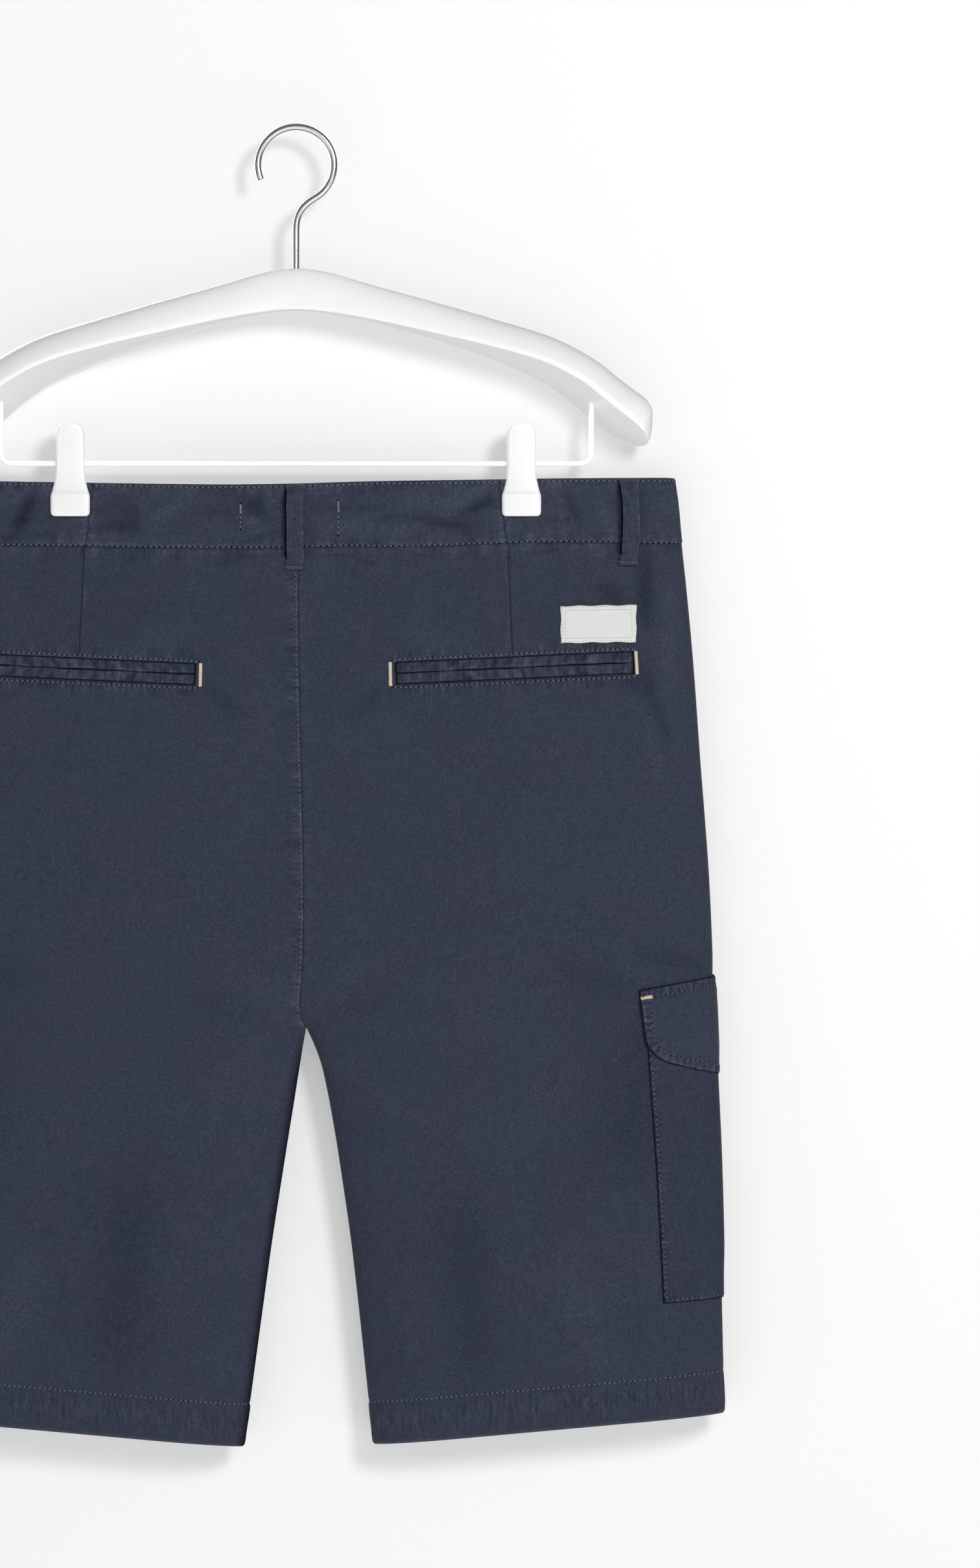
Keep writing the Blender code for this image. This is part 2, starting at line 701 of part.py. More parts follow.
def hanger_body_mesh():
    """Both arms, from tip to tip."""
    rows = [(-row[0], *row[1:]) for row in ARM[:0:-1]] + list(ARM)
    count = len(rows) - 1

    def place(u, v):
        i = round(v * count)
        row = rows[i]
        low, high = rows[max(i - 1, 0)], rows[min(i + 1, count)]
        run, rise = high[0] - low[0], high[1] - low[1]
        size = math.hypot(run, rise)
        y, up = arm_section(row, u)
        return Vector((row[0] - up * rise / size, y, row[1] + up * run / size)) * MM

    return mapped_tube(ARM_SIDES, count, place)


def bar_points():
    """The trouser bar: up into each arm, with a round bend at each lower corner."""
    half = []
    for i in range(7):
        turn = math.pi / 2 * i / 6
        half.append((
            BAR_X - BAR_BEND + BAR_BEND * math.sin(turn), 0.0,
            BAR_Z + BAR_BEND - BAR_BEND * math.cos(turn),
        ))
    half.append((BAR_X, 0.0, BAR_TOP))
    return [(-x, y, z) for x, y, z in half[::-1]] + [(0.0, 0.0, BAR_Z)] + half


def hook_points():
    """The hook: a straight stem, a short sweep aside, and an open round crown."""
    radius = HOOK_INNER + HOOK_WIRE / 2
    start = math.radians(-60.0)
    join = Vector((radius * math.cos(start), -HOOK_INNER + radius * math.sin(start)))
    stem_top = Vector((0.0, join.y - 20.0))
    points = [(0.0, 0.0, HOOK_FOOT), (0.0, 0.0, stem_top.y)]
    pull = 10.0
    for i in range(1, 6):
        t = i / 6
        b = (1 - t) ** 3, 3 * t * (1 - t) ** 2, 3 * t * t * (1 - t), t**3
        near = stem_top + Vector((0.0, pull))
        far = join - Vector((-math.sin(start), math.cos(start))) * pull
        at = stem_top * b[0] + near * b[1] + far * b[2] + join * b[3]
        points.append((at.x, 0.0, at.y))
    turns = 22
    for i in range(turns + 1):
        angle = start + math.radians(262.0) * i / turns
        points.append((radius * math.cos(angle), 0.0, -HOOK_INNER + radius * math.sin(angle)))
    return points


def jaw_mesh(side, facing):
    """One jaw of a clip. facing is -1 on the back and 1 on the front."""
    count = len(JAW) - 1

    def place(u, v, w):
        z, half_width, outer, inner = JAW[round(v * count)]
        crown = 0.7 * (1 - (2 * u - 1) ** 2) * (1 - w)
        y = inner + (outer - 0.7 - inner) * (1 - w) + crown
        return Vector((side * CLIP_X + (2 * u - 1) * half_width, facing * y, z)) * MM

    return mapped_wall(4, count, place)


def button_mesh():
    """A turned button with a raised rim, its back to the waistband."""
    bm = bmesh.new()
    bmesh.ops.create_cone(
        bm, cap_ends=True, segments=24, radius1=BUTTON_RADIUS * MM,
        radius2=BUTTON_RADIUS * 0.93 * MM, depth=BUTTON_HEIGHT * MM,
    )
    top = [f for f in bm.faces if f.normal.z > 0.9]
    inset = bmesh.ops.inset_region(bm, faces=top, thickness=1.6 * MM)
    del inset
    bmesh.ops.translate(
        bm, verts=list({v for f in top for v in f.verts}), vec=(0, 0, -0.8 * MM)
    )
    return closed_mesh("button", bm)


# ---------------------------------------------------------------- build

def build_cloth(shorts, helpers):
    cloth = make_material("navy twill", CLOTH_COLOUR, 0.85)
    trim = make_material("navy twill trim", TRIM_COLOUR, 0.85)
    label = make_material("woven label", LABEL_COLOUR, 0.7)
    button = make_material("button", BUTTON_COLOUR, 0.35)

    for side in (1, -1):
        name = side_name(side)
        back = add_object(f"back_{name}", panel_mesh(side, "back"), cloth, shorts)
        cut(back, welt_window(side, helpers))
        add_object(f"front_{name}", panel_mesh(side, "front"), cloth, shorts)
        for upper in (True, False):
            which = "upper" if upper else "lower"
            add_object(f"welt_{which}_{name}", welt_mesh(side, upper), trim, shorts)
        add_object(f"waistband_{name}", band_side_mesh(side), cloth, shorts)
        add_object(f"cargo_pocket_{name}", pocket_mesh(side), cloth, shorts)
        add_object(f"cargo_flap_{name}", flap_mesh(side), trim, shorts)
        loop = loop_mesh(side * BACK_LOOP_X, "back", LOOP_BOW)
        add_object(f"belt_loop_back_{name}", loop, trim, shorts)
        loop = loop_mesh(side * FRONT_LOOP_X, "front", 0.0)
        add_object(f"belt_loop_front_{name}", loop, trim, shorts)
    add_object("waistband_back", band_back_mesh(), cloth, shorts)
    add_object("belt_loop_middle", loop_mesh(MIDDLE_LOOP_X, "back", 0.0), trim, shorts)
    add_object("label", label_mesh(), label, shorts)

    button_z = band_level(0.5, 1.0)
    x, y, z = on_face(1.0, button_z, "front", BAND_PROUD + SEAM_GAP + BUTTON_HEIGHT / 2)
    made = add_object("waist_button", button_mesh(), button, shorts)
    made.location = settled(x, y, z)
    made.rotation_euler = (-math.pi / 2, 0.0, 0.0)


def build_hanger(shorts, helpers):
    plastic = make_material("white plastic", PLASTIC_COLOUR, 0.4)
    coated = make_material("white coated wire", PLASTIC_COLOUR, 0.35)
    steel = make_material("hook steel", STEEL_COLOUR, 0.25, 1.0)

    body = add_object("hanger_body", hanger_body_mesh(), plastic, shorts, 50.0)
    for side in (1, -1):
        socket = rod_cutter(
            f"bar_socket_{side_name(side)}", side * BAR_X, -190.0, BAR_TOP + SOCKET_SLACK,
            WIRE / 2 + SOCKET_SLACK, helpers,
        )
        cut(body, socket)
        for facing, where in ((-1, "back"), (1, "front")):
            name = f"clip_{side_name(side)}_{where}_jaw"
            add_object(name, jaw_mesh(side, facing), plastic, shorts)
    cut(body, rod_cutter(
        "hook_socket", 0.0, HOOK_FOOT - SOCKET_SLACK, -60.0,
        HOOK_WIRE / 2 + SOCKET_SLACK, helpers,
    ))
    wire("trouser_bar", bar_points(), WIRE, coated, shorts)
    wire("hook", hook_points(), HOOK_WIRE, steel, shorts)


def main():
    clear_scene()
    shorts = make_collection("cargo shorts on a clip hanger")
    helpers = make_collection("cutters")
    build_cloth(shorts, helpers)
    build_hanger(shorts, helpers)


main()
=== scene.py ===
import math
import bmesh
import bpy
import numpy as np
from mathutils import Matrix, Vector
from mathutils.bvhtree import BVHTree


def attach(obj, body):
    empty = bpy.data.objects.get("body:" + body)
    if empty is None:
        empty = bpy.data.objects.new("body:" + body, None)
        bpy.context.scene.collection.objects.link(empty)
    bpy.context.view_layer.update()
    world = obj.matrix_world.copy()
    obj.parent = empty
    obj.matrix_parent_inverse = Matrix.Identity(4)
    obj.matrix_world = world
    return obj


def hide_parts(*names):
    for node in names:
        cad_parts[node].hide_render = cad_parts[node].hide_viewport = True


# Cargo shorts on a clip hanger. Sizes are in millimetres until a mesh is written.
# The back faces -Y, the front faces +Y, and +X is the wearer's right.

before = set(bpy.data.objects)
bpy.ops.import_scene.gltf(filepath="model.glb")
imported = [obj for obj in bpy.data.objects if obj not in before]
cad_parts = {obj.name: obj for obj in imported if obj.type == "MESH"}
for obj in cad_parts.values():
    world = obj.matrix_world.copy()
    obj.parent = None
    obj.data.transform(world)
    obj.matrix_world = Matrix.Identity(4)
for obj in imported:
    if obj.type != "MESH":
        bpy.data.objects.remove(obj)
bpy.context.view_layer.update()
mm = 0.001
sides = ((1, "right"), (-1, "left"))
faces = ("back", "front")

# camera, wall, floor and lights
view = dict(
    x=111.0, y=-3000.0, z=-374.44, lens=120.3, sensor=36.0, clip=(0.1, 30.0),
    wallY=22.0, wallZ=-400.0, wallSize=9000.0, wallColour=(0.48, 0.482, 0.486), wallGlow=0.345,
    floorZ=-905.0, floorSize=9000.0, floorColour=(0.80, 0.80, 0.80), floorGlow=0.60,
    world=(0.93, 0.955, 1.0), worldStrength=0.16,
)
lamps = (  # name, place, aim, size, watts, colour
    ("key", (1160, -2337, 680), (120, 0, -420), 760, 53.0, (1.0, 0.985, 0.965)),
    ("fill", (-1500, -2300, 100), (100, 0, -480), 1800, 3.5, (0.97, 0.985, 1.0)),
    ("front", (450, -3200, 500), (110, 0, -420), 700, 8.0, (1.0, 1.0, 1.0)),
    ("behind", (-900, 2600, 500), (0, 0, -420), 1700, 62.0, (1.0, 1.0, 1.0)),
)


class Finish:
    # a material, with the nodes that several finishes share

    def __init__(self, name, **values):
        self.made = bpy.data.materials.new(name)
        self.made.use_nodes = True
        self.tree = self.made.node_tree
        self.shader = self.tree.nodes["Principled BSDF"]
        self.done(**values)

    def done(self, **values):
        self.fill(self.shader, **values)
        return self.made

    def put(self, value, socket):
        # a number, a colour or the output of another node
        if isinstance(value, bpy.types.NodeSocket):
            self.tree.links.new(value, socket)
        elif socket.type == "RGBA":
            socket.default_value = (*value, 1)
        elif value is not None:
            socket.default_value = value

    def fill(self, node, **inputs):
        for name, value in inputs.items():
            self.put(value, node.inputs[name.replace("_", " ")])
        return node

    def node(self, kind, **inputs):
        return self.fill(self.tree.nodes.new(kind), **inputs)

    def place(self):
        return self.node("ShaderNodeTexCoord").outputs["Object"]

    def cut(self):
        # place on the flat cut piece
        node = self.node("ShaderNodeUVMap")
        node.uv_map = "cut"
        return node.outputs[0]

    def attribute(self, name):
        node = self.node("ShaderNodeAttribute")
        node.attribute_name = name
        return node.outputs["Fac"]

    def math(self, operation, first, *others, clamp=False):
        # each of the others is taken in turn
        for second in others or (None,):
            node = self.node("ShaderNodeMath")
            node.operation = operation
            node.use_clamp = clamp
            self.put(first, node.inputs[0])
            self.put(second, node.inputs[1])
            first = node.outputs[0]
        return first

    def times(self, *values, clamp=False):
        return self.math("MULTIPLY", *values, clamp=clamp)

    def swing(self, value, size):
        # 1 give or take size, from a noise between 0 and 1
        return self.math("ADD", self.times(value, 2 * size), 1 - size)

    def mapped(self, source, scale=(1, 1, 1), turn=0.0):
        return self.node("ShaderNodeMapping", Vector=source, Scale=scale, Rotation=(0, 0, turn)).outputs[0]

    def noise(self, source, scale, detail=2.0, roughness=0.5):
        values = dict(Vector=source, Scale=scale, Detail=detail, Roughness=roughness)
        return self.node("ShaderNodeTexNoise", **values).outputs["Fac"]

    def mixed(self, factor, first, second):
        node = self.node("ShaderNodeMix")
        node.data_type = "RGBA"
        for value, number in ((factor, 0), (first, 6), (second, 7)):
            self.put(value, node.inputs[number])
        return node.outputs[2]

    def toned(self, colour, tone):
        node = self.node("ShaderNodeVectorMath")
        node.operation = "SCALE"
        self.put(colour, node.inputs[0])
        self.put(tone, node.inputs["Scale"])
        return node.outputs[0]

    def bump(self, height, distance, strength=1.0, under=None):
        sizes = dict(Distance=distance * mm, Strength=strength)
        return self.node("ShaderNodeBump", Height=height, Normal=under, **sizes).outputs[0]


def newMesh(name, bm):
    mesh = bpy.data.meshes.new(name)
    bm.to_mesh(mesh)
    bm.free()
    return mesh


def newObject(name, data, material=None):
    if material:
        data.materials.append(material)
    made = bpy.data.objects.new(name, data)
    bpy.context.scene.collection.objects.link(made)
    return made


def backdrop(name, size, colour, glow):
    # a sheet that is clear from its back, so that it hides nothing from behind
    paint = Finish(name + " sheet", Roughness=0.95, Emission_Strength=glow, Emission_Color=(1, 1, 1),
                   Base_Color=colour)
    facing, clear = paint.node("ShaderNodeNewGeometry"), paint.node("ShaderNodeBsdfTransparent")
    mix = paint.node("ShaderNodeMixShader", Fac=facing.outputs["Backfacing"])
    paint.put(paint.shader.outputs[0], mix.inputs[1])
    paint.put(clear.outputs[0], mix.inputs[2])
    paint.put(mix.outputs[0], paint.tree.nodes["Material Output"].inputs[0])
    bm = bmesh.new()
    bmesh.ops.create_grid(bm, x_segments=1, y_segments=1, size=size / 2 * mm)
    made = newObject(name, newMesh(name, bm), paint.made)
    return made


def makeStage():
    scene = bpy.context.scene
    scene.view_settings.view_transform = "Standard"
    # the wall is a lit white screen, so the shadows on it stay faint
    wall = backdrop("wall", view["wallSize"], view["wallColour"], view["wallGlow"])
    wall.rotation_euler = (math.radians(90), 0, 0)
    wall.location = (0, view["wallY"] * mm, view["wallZ"] * mm)
    # it takes shadows, but neither casts one nor throws light back on what hangs before it
    wall.visible_diffuse = wall.visible_glossy = wall.visible_shadow = False
    floor = backdrop("floor", view["floorSize"], view["floorColour"], view["floorGlow"])
    floor.location = (0, -view["floorSize"] / 2 * mm + view["wallY"] * mm, view["floorZ"] * mm)

    world = bpy.data.worlds.new("studio")
    world.use_nodes = True
    sky = world.node_tree.nodes["Background"]
    sky.inputs["Color"].default_value = (*view["world"], 1)
    sky.inputs["Strength"].default_value = view["worldStrength"]
    scene.world = world

    for name, place, aim, size, watts, colour in lamps:
        data = bpy.data.lights.new(name, "AREA")
        data.shape = "DISK"
        data.size = size * mm
        data.energy = watts
        data.color = colour
        lamp = newObject(name, data)
        lamp.location = Vector(place) * mm
        lamp.rotation_euler = (Vector(aim) - Vector(place)).to_track_quat("-Z", "Y").to_euler()
        lamp.visible_camera = False

    data = bpy.data.cameras.new("camera")
    data.lens = view["lens"]
    data.sensor_width = view["sensor"]
    data.clip_start, data.clip_end = view["clip"]
    camera = newObject("camera", data)
    camera.location = Vector((view["x"], view["y"], view["z"])) * mm
    camera.rotation_euler = (math.radians(90), 0, 0)
    scene.camera = camera


makeStage()
print("stage: wall, floor, lamps and camera")

# the form in which the shorts hang
hang = dict(
    sideEdge=(  # height, half width
        (-199, 216.1), (-240, 220.8), (-304, 227.2), (-363, 231.6), (-422, 236.1), (-468, 238.3),
        (-482, 238.4), (-490, 237.9), (-500, 237.8), (-541, 239.5), (-592, 241.7), (-660, 243.4),
        (-760, 245.6),
    ),
    tubeDepth=(  # height, half depth from front to back
        (-199, 5.7), (-245, 5.9), (-304, 10.2), (-363, 13.5), (-422, 15), (-482, 16), (-541, 16),
        (-600, 15.5), (-660, 15), (-760, 14.2),
    ),
    middleSeam=(  # height, x
        (-199, 0), (-240, 1.2), (-304, 1.9), (-392, 4), (-445, 4.8), (-482, 3.9), (-500, 2.4),
        (-508, 3.2), (-514.4, 6),
    ),
    inseam={1: (  # height, x of each leg's inner edge
        (-514.4, 6), (-524, 10.4), (-535, 14.4), (-547, 17.2), (-563, 20.4), (-591, 25.2),
        (-640, 32.5), (-760, 46),
    ), -1: (
        (-514.4, 6), (-524, 4.2), (-552, -0.4), (-591, -7), (-640, -15), (-760, -32),
    )},
    waistLift=(  # x, lift between the two clips
        (-240, 2.4), (-129, 0.8), (-45, -0.5), (0, 0), (40, 1.2), (113, 2.5), (150, 3.1), (240, 3.3),
    ),
    waistTop=-202.6, waistSeam=-239.2, crotch=-514.4, hemLine=-743.0,
    hemSlant=0.09, legMiddle=145.0, frontDip=4.0, saddle=78.0, foldRadius=4.2, sideSeam=-6.0,
    clipX=129.0, clipFlat=12.0, clipPinch=3.6, pinchSpread=44.0, pinchTop=-245.0, pinchEnd=-340.0,
    seamGap=0.14, seamSag=((70.0, 34.0, 1.35), (208.0, 34.0, 1.1)), liftFade=110.0, sagFade=16.0,
)
folds = dict(  # x and height at both ends, half width, rise
    back=(
        (8, -360, 40, -435, 17, -1.9), (-6, -350, -34, -440, 19, -1.7), (205, -318, 224, -362, 9, 1.4),
        (60, -470, 190, -448, 30, 1.5), (190, -560, 90, -610, 24, -1.8), (-196, -322, -222, -370, 10, 1.4),
        (-70, -560, -180, -640, 26, -1.7), (70, -246, 76, -292, 8, -1.0), (40, -290, 10, -350, 14, 1.1),
        (150, -360, 100, -440, 22, 1.2),
    ),
    front=(
        (10, -430, 74, -470, 20, 1.7), (-12, -440, -80, -476, 20, 1.6), (110, -300, 60, -400, 24, -1.5),
        (-116, -310, -64, -404, 22, -1.6), (170, -560, 110, -680, 26, -1.5),
        (-160, -570, -96, -690, 24, 1.5),
    ),
)
creases = dict(  # smaller ones, which the folds above carry
    back=(
        (152, -207, 163, -229, 3, -0.28), (146, -211, 154, -233, 4, 0.35), (172, -214, 182, -240, 4, 0.4),
        (86, -216, 112, -205, 3.6, 0.5), (92, -223, 114, -213, 3, -0.5), (14, -217, 56, -219, 2.6, -0.25),
        (16, -227, 60, -226, 4, 0.4), (62, -213, 98, -217, 4, 0.45), (66, -224, 104, -230, 3.4, -0.4),
        (-34, -206, -14, -222, 3, -0.15), (-38, -214, -20, -229, 3, 0.5), (-62, -210, -86, -226, 4, 0.5),
        (-150, -208, -160, -232, 4, -0.6), (199, -246, 199, -286, 4.5, -0.95),
        (211, -250, 213, -330, 5, 0.7), (174, -262, 186, -274, 5, -0.7),
        (12.5, -243.9, 34, -243.7, 1.1, -0.5), (14, -241.6, 33, -241.6, 1.2, 0.5),
        (35, -247.2, 47, -248.8, 1.3, -0.45), (66, -244, 76, -243.6, 1.2, -0.4),
        (90, -246.6, 99, -245.4, 1.4, -0.4), (140, -244.2, 149, -243.6, 1.2, -0.4),
        (-20, -243.6, -30, -244.2, 1.3, -0.4), (-64, -244, -76, -244.8, 1.3, -0.4),
        (12, -246, 15, -262, 5, 0.35), (48, -243, 50, -254, 3.5, 0.3), (-24, -242, -28, -264, 4.5, -0.5),
        (-60, -241, -64, -258, 4, 0.5), (96, -300, 62, -286, 7, 0.6), (50, -318, 30, -338, 5, -0.35),
        (195, -304, 212, -350, 5.5, -0.6), (200, -330, 206, -372, 5, 0.55),
        (-194, -306, -214, -352, 6, -0.8), (10, -500, 46, -470, 6, 0.2), (12, -508, 60, -496, 7, -0.22),
        (20, -526, 58, -560, 8, 0.3), (-2, -500, -40, -468, 6, 0.2), (-6, -512, -58, -500, 7, -0.22),
        (-10, -530, -44, -572, 9, 0.3), (196, -470, 232, -478, 6, -0.45), (150, -480, 192, -492, 9, -0.35),
        (-196, -468, -232, -480, 6, -0.9), (150, -640, 176, -716, 12, 0.8), (92, -600, 104, -716, 15, -0.45),
        (204, -504, 186, -606, 26, -0.42), (-120, -610, -104, -714, 14, 0.5),
    ),
    front=(
        (6, -330, 40, -372, 9, 0.65), (4, -480, 52, -450, 6, -0.3), (14, -520, 60, -548, 9, 0.5),
        (-6, -484, -56, -456, 6, -0.3), (-14, -520, -66, -552, 9, 0.5), (-8, -340, -44, -380, 9, 0.65),
        (180, -440, 226, -470, 8, 0.7), (-178, -436, -226, -468, 8, -0.7), (84, -590, 96, -714, 14, 0.7),
        (-150, -600, -166, -712, 15, -0.7), (150, -206, 158, -234, 4, 0.55),
        (-152, -208, -162, -232, 4, -0.55), (40, -212, 62, -226, 3.6, 0.5),
        (-44, -224, -66, -214, 3.6, -0.25),
    ),
)


def along(table, at):
    # a smooth curve through the rows of a two-column table
    keys, values = np.array(table, float).T
    if keys[0] > keys[-1]:
        keys, values = keys[::-1], values[::-1]
    last = len(keys) - 1
    low, high = np.maximum(np.arange(last + 1) - 1, 0), np.minimum(np.arange(last + 1) + 1, last)
    slope = (values[high] - values[low]) / (keys[high] - keys[low])
    at = np.clip(at, keys[0], keys[-1])
    i = np.clip(np.searchsorted(keys, at) - 1, 0, last - 1)
    step = keys[i + 1] - keys[i]
    t = (at - keys[i]) / step
    rise = (2 * t**3 - 3 * t**2 + 1) * values[i] + (3 * t**2 - 2 * t**3) * values[i + 1]
    return rise + step * ((t**3 - 2 * t**2 + t) * slope[i] + (t**3 - t**2) * slope[i + 1])


def ease(t):
    # 0 up to 0, 1 from 1 on, and smooth between
    t = np.clip(t, 0.0, 1.0)
    return t * t * (3 - 2 * t)


def bell(away, width):
    # 1 in the middle, and nothing at about twice the width
    return np.exp(-((away / width) ** 2))


def grid(rows, columns):
    return np.meshgrid(rows, columns, indexing="ij")


def runOf(a, b):
    # distance along a line of points, from its start to each of them
    return np.concatenate([[0.0], np.cumsum(np.hypot(np.diff(a), np.diff(b)))])


def innerEdge(z, side):
    below = along(hang["inseam"][side], z)
    return side * np.where(z > hang["crotch"], along(hang["middleSeam"], z), below)


def openness(z):
    # 1 where the tube runs on across the middle, down to 0 at the crotch
    up = np.clip((z - hang["crotch"]) / hang["saddle"], 0.0, 1.0)
    return np.sin(math.pi / 2 * up) ** 0.8


def saddleEase(share):
    # above the crotch the two halves meet without a sharp valley
    return 7.0 * np.sqrt(share)


def depthAt(x, z):
    beside = np.maximum(np.abs(np.abs(x) - hang["clipX"]) - hang["clipFlat"], 0.0)
    fade = ease((hang["pinchTop"] - z) / (hang["pinchTop"] - hang["pinchEnd"]))
    return along(hang["tubeDepth"], z) - hang["clipPinch"] * (1 - fade) * bell(beside, hang["pinchSpread"])


def rounding(inwards, depth):
    reach = depth * depth / hang["foldRadius"]
    return np.sqrt(np.maximum(0.0, 1 - (1 - np.clip(inwards / reach, 0.0, 1.0)) ** 2))


def foldHeight(x, z, face, small=False):
    # how far out the folds lie, or the small creases alone
    total = 0.0 * x
    for x0, z0, x1, z1, width, rise in creases[face] if small else folds[face] + creases[face]:
        length = math.hypot(x1 - x0, z1 - z0)
        run, drop = (x1 - x0) / length, (z1 - z0) / length
        lengthwise = ((x - x0) * run + (z - z0) * drop) / length
        across = -(x - x0) * drop + (z - z0) * run
        ends = ease(lengthwise * 2 + 0.4) * ease((1 - lengthwise) * 2 + 0.4)
        total = total + rise * bell(across, width) * ends
    return total


def faceDepth(x, z, face):
    # distance of the back or the front from the middle plane
    side = np.where(x >= innerEdge(z, 1), 1, -1)
    inner = np.where(side > 0, innerEdge(z, 1), innerEdge(z, -1)) + hang["seamGap"] / 2
    outwards = x * side
    depth = depthAt(x, z)
    share = openness(z)
    shape = rounding(along(hang["sideEdge"], z) - outwards, depth)
    shape = shape * (share + (1 - share) * rounding(outwards - inner + saddleEase(share), depth))
    return (depth + foldHeight(x, z, face)) * shape


def settled(x, y, z):
    # the waist hangs between the clips, and the hem rises outwards
    waist = along(hang["waistLift"], x) * (1 - ease((hang["waistSeam"] - z) / hang["liftFade"]))
    down = ease((hang["crotch"] - z) / (hang["crotch"] - hang["hemLine"]))
    hem = hang["hemSlant"] * (np.abs(x) - hang["legMiddle"]) * down
    sag = sum(drop * bell(x - where, reach) for where, reach, drop in hang["seamSag"])
    sag = sag * bell(z - hang["waistSeam"], hang["sagFade"])
    return np.stack([x, y, z + waist + hem - sag], axis=-1)


def onFace(x, z, face, out=0.0):
    # points of the back or front, moved out of the cloth, and the way out
    x, z, out = np.broadcast_arrays(np.asarray(x, float), np.asarray(z, float), out)
    sign = -1.0 if face == "back" else 1.0
    y = faceDepth(x, z, face)
    slope = (faceDepth(x + 0.4, z, face) - faceDepth(x - 0.4, z, face)) / 0.8
    size = np.hypot(slope, 1.0)
    nx, ny = -slope / size, sign / size
    points = settled(x + out * nx, sign * y + out * ny, z)
    return points, np.stack([nx, ny, 0 * nx], axis=-1)


class Tube:
    # one half's level sections, by distance round from its outer edge: + on the back
    step, around, top, foot = 0.5, 262.0, -196.0, -752.0

    def __init__(self, side):
        self.side = side
        self.reach = np.arange(-self.around, self.around + 0.01, self.step)
        rows = [self.section(z) for z in np.arange(self.top, self.foot, -1.0)]
        self.table = np.array([row[0] for row in rows])
        self.levels = np.arange(self.top, self.foot, -1.0)[::-1]
        self.ends = {face: np.array([row[k + 1] for row in rows])[::-1] for k, face in enumerate(faces)}

    def section(self, z):
        side = self.side
        outer = float(along(hang["sideEdge"], z))
        inner = float(innerEdge(z, side)) + hang["seamGap"] / 2
        x = inner + (outer - inner) * (1 - np.cos(math.pi * np.linspace(0, 1, 361))) / 2
        depth = depthAt(x, z)
        share = openness(z)
        shape = rounding(x - inner + saddleEase(share), depth)
        shape = rounding(outer - x, depth) * (share + (1 - share) * shape)
        back, front = ((depth + foldHeight(side * x, z, face)) * shape for face in faces)
        px = np.concatenate([x, x[-2::-1]])[::-1]
        py = np.concatenate([-back, front[-2::-1]])[::-1]
        run = runOf(px, py)
        s = run - run[len(x) - 1]
        tx, ty = np.gradient(px), np.gradient(py)
        size = np.hypot(tx, ty)
        tx, ty = tx / size, ty / size
        columns = np.array([np.interp(self.reach, s, values) for values in (px, py, -ty, tx)])
        for end, past in ((0, self.reach < s[0]), (-1, self.reach > s[-1])):
            beyond = self.reach[past] - s[end]
            columns[0][past] += beyond * tx[end]
            columns[1][past] += beyond * ty[end]
        columns[[0, 2]] *= side
        return columns, s[-1], s[0]

    def end(self, z, face):
        return np.interp(z, self.levels, self.ends[face])

    def at(self, s, z, out=0.0):
        # points at distance s round the section, moved out, and the way out
        s, z, out = np.broadcast_arrays(np.asarray(s, float), np.asarray(z, float), out)
        row = np.clip(self.top - z, 0, len(self.levels) - 1.001)
        column = np.clip((s - self.reach[0]) / self.step, 0, len(self.reach) - 1.001)
        i, j = row.astype(int), column.astype(int)
        u, v = column - j, row - i
        x, y, nx, ny = (
            (self.table[i, k, j] * (1 - u) + self.table[i, k, j + 1] * u) * (1 - v)
            + (self.table[i + 1, k, j] * (1 - u) + self.table[i + 1, k, j + 1] * u) * v
            for k in range(4)
        )
        size = np.hypot(nx, ny)
        nx, ny = nx / size, ny / size
        return settled(x + out * nx, y + out * ny, z), np.stack([nx, ny, 0 * nx], axis=-1)

    def reachAt(self, x, z, face):
        # s of a place on the back or front with this distance outwards
        s = self.reach
        xs = self.side * self.table[int(round(self.top - z)), 0]
        part = s > 0 if face == "back" else s < 0
        order = np.argsort(xs[part])
        return float(np.interp(x, xs[part][order], s[part][order]))


tubes = {side: Tube(side) for side, _ in sides}
print("hanging form worked out")

# cloth meshes
clothTrees = {}
finishes = {}


def spaced(*runs):
    # values from (start, end, step) runs that follow each other
    values = []
    for start, end, step in runs:
        count = max(1, round(abs(end - start) / step))
        values += list(np.linspace(start, end, count + 1)[:-1])
    return np.array(values + [runs[-1][1]])


def ripples(lengthwise, across, reach, seed, spacing, width, height):
    # short puckers beside a seam, each with its own place, reach and height
    random = np.random.default_rng(seed)
    place, last = float(np.min(lengthwise)), float(np.max(lengthwise))
    total = np.zeros(np.broadcast(lengthwise, across).shape)
    while place < last:
        place += spacing * random.uniform(0.55, 1.5)
        far = reach * random.uniform(0.55, 1.2)
        size = height * random.uniform(0.35, 1.0) * random.choice([-0.6, 1.0])
        wide = width * random.uniform(0.8, 1.5)
        lean = random.uniform(-0.25, 0.25)
        pucker = size * bell(lengthwise - place - lean * across, wide)
        total += pucker * ease(1 - across / far) * ease(across / 0.8 + 0.2)
    return total


def paintedCrestAndHollow(pucker, size):
    # crests of a pucker are painted paler, as wear and as painted highlight, and its hollows get painted
    # shade
    return np.clip(pucker / size, 0, 1), np.clip(-pucker / size, 0, 1)


def readAll(rows, key, width=1, kind=np.float32):
    values = np.empty(len(rows) * width, kind)
    rows.foreach_get(key, values)
    return values


def writeAll(rows, key, values):
    rows.foreach_set(key, np.asarray(values).astype(np.float32).ravel())


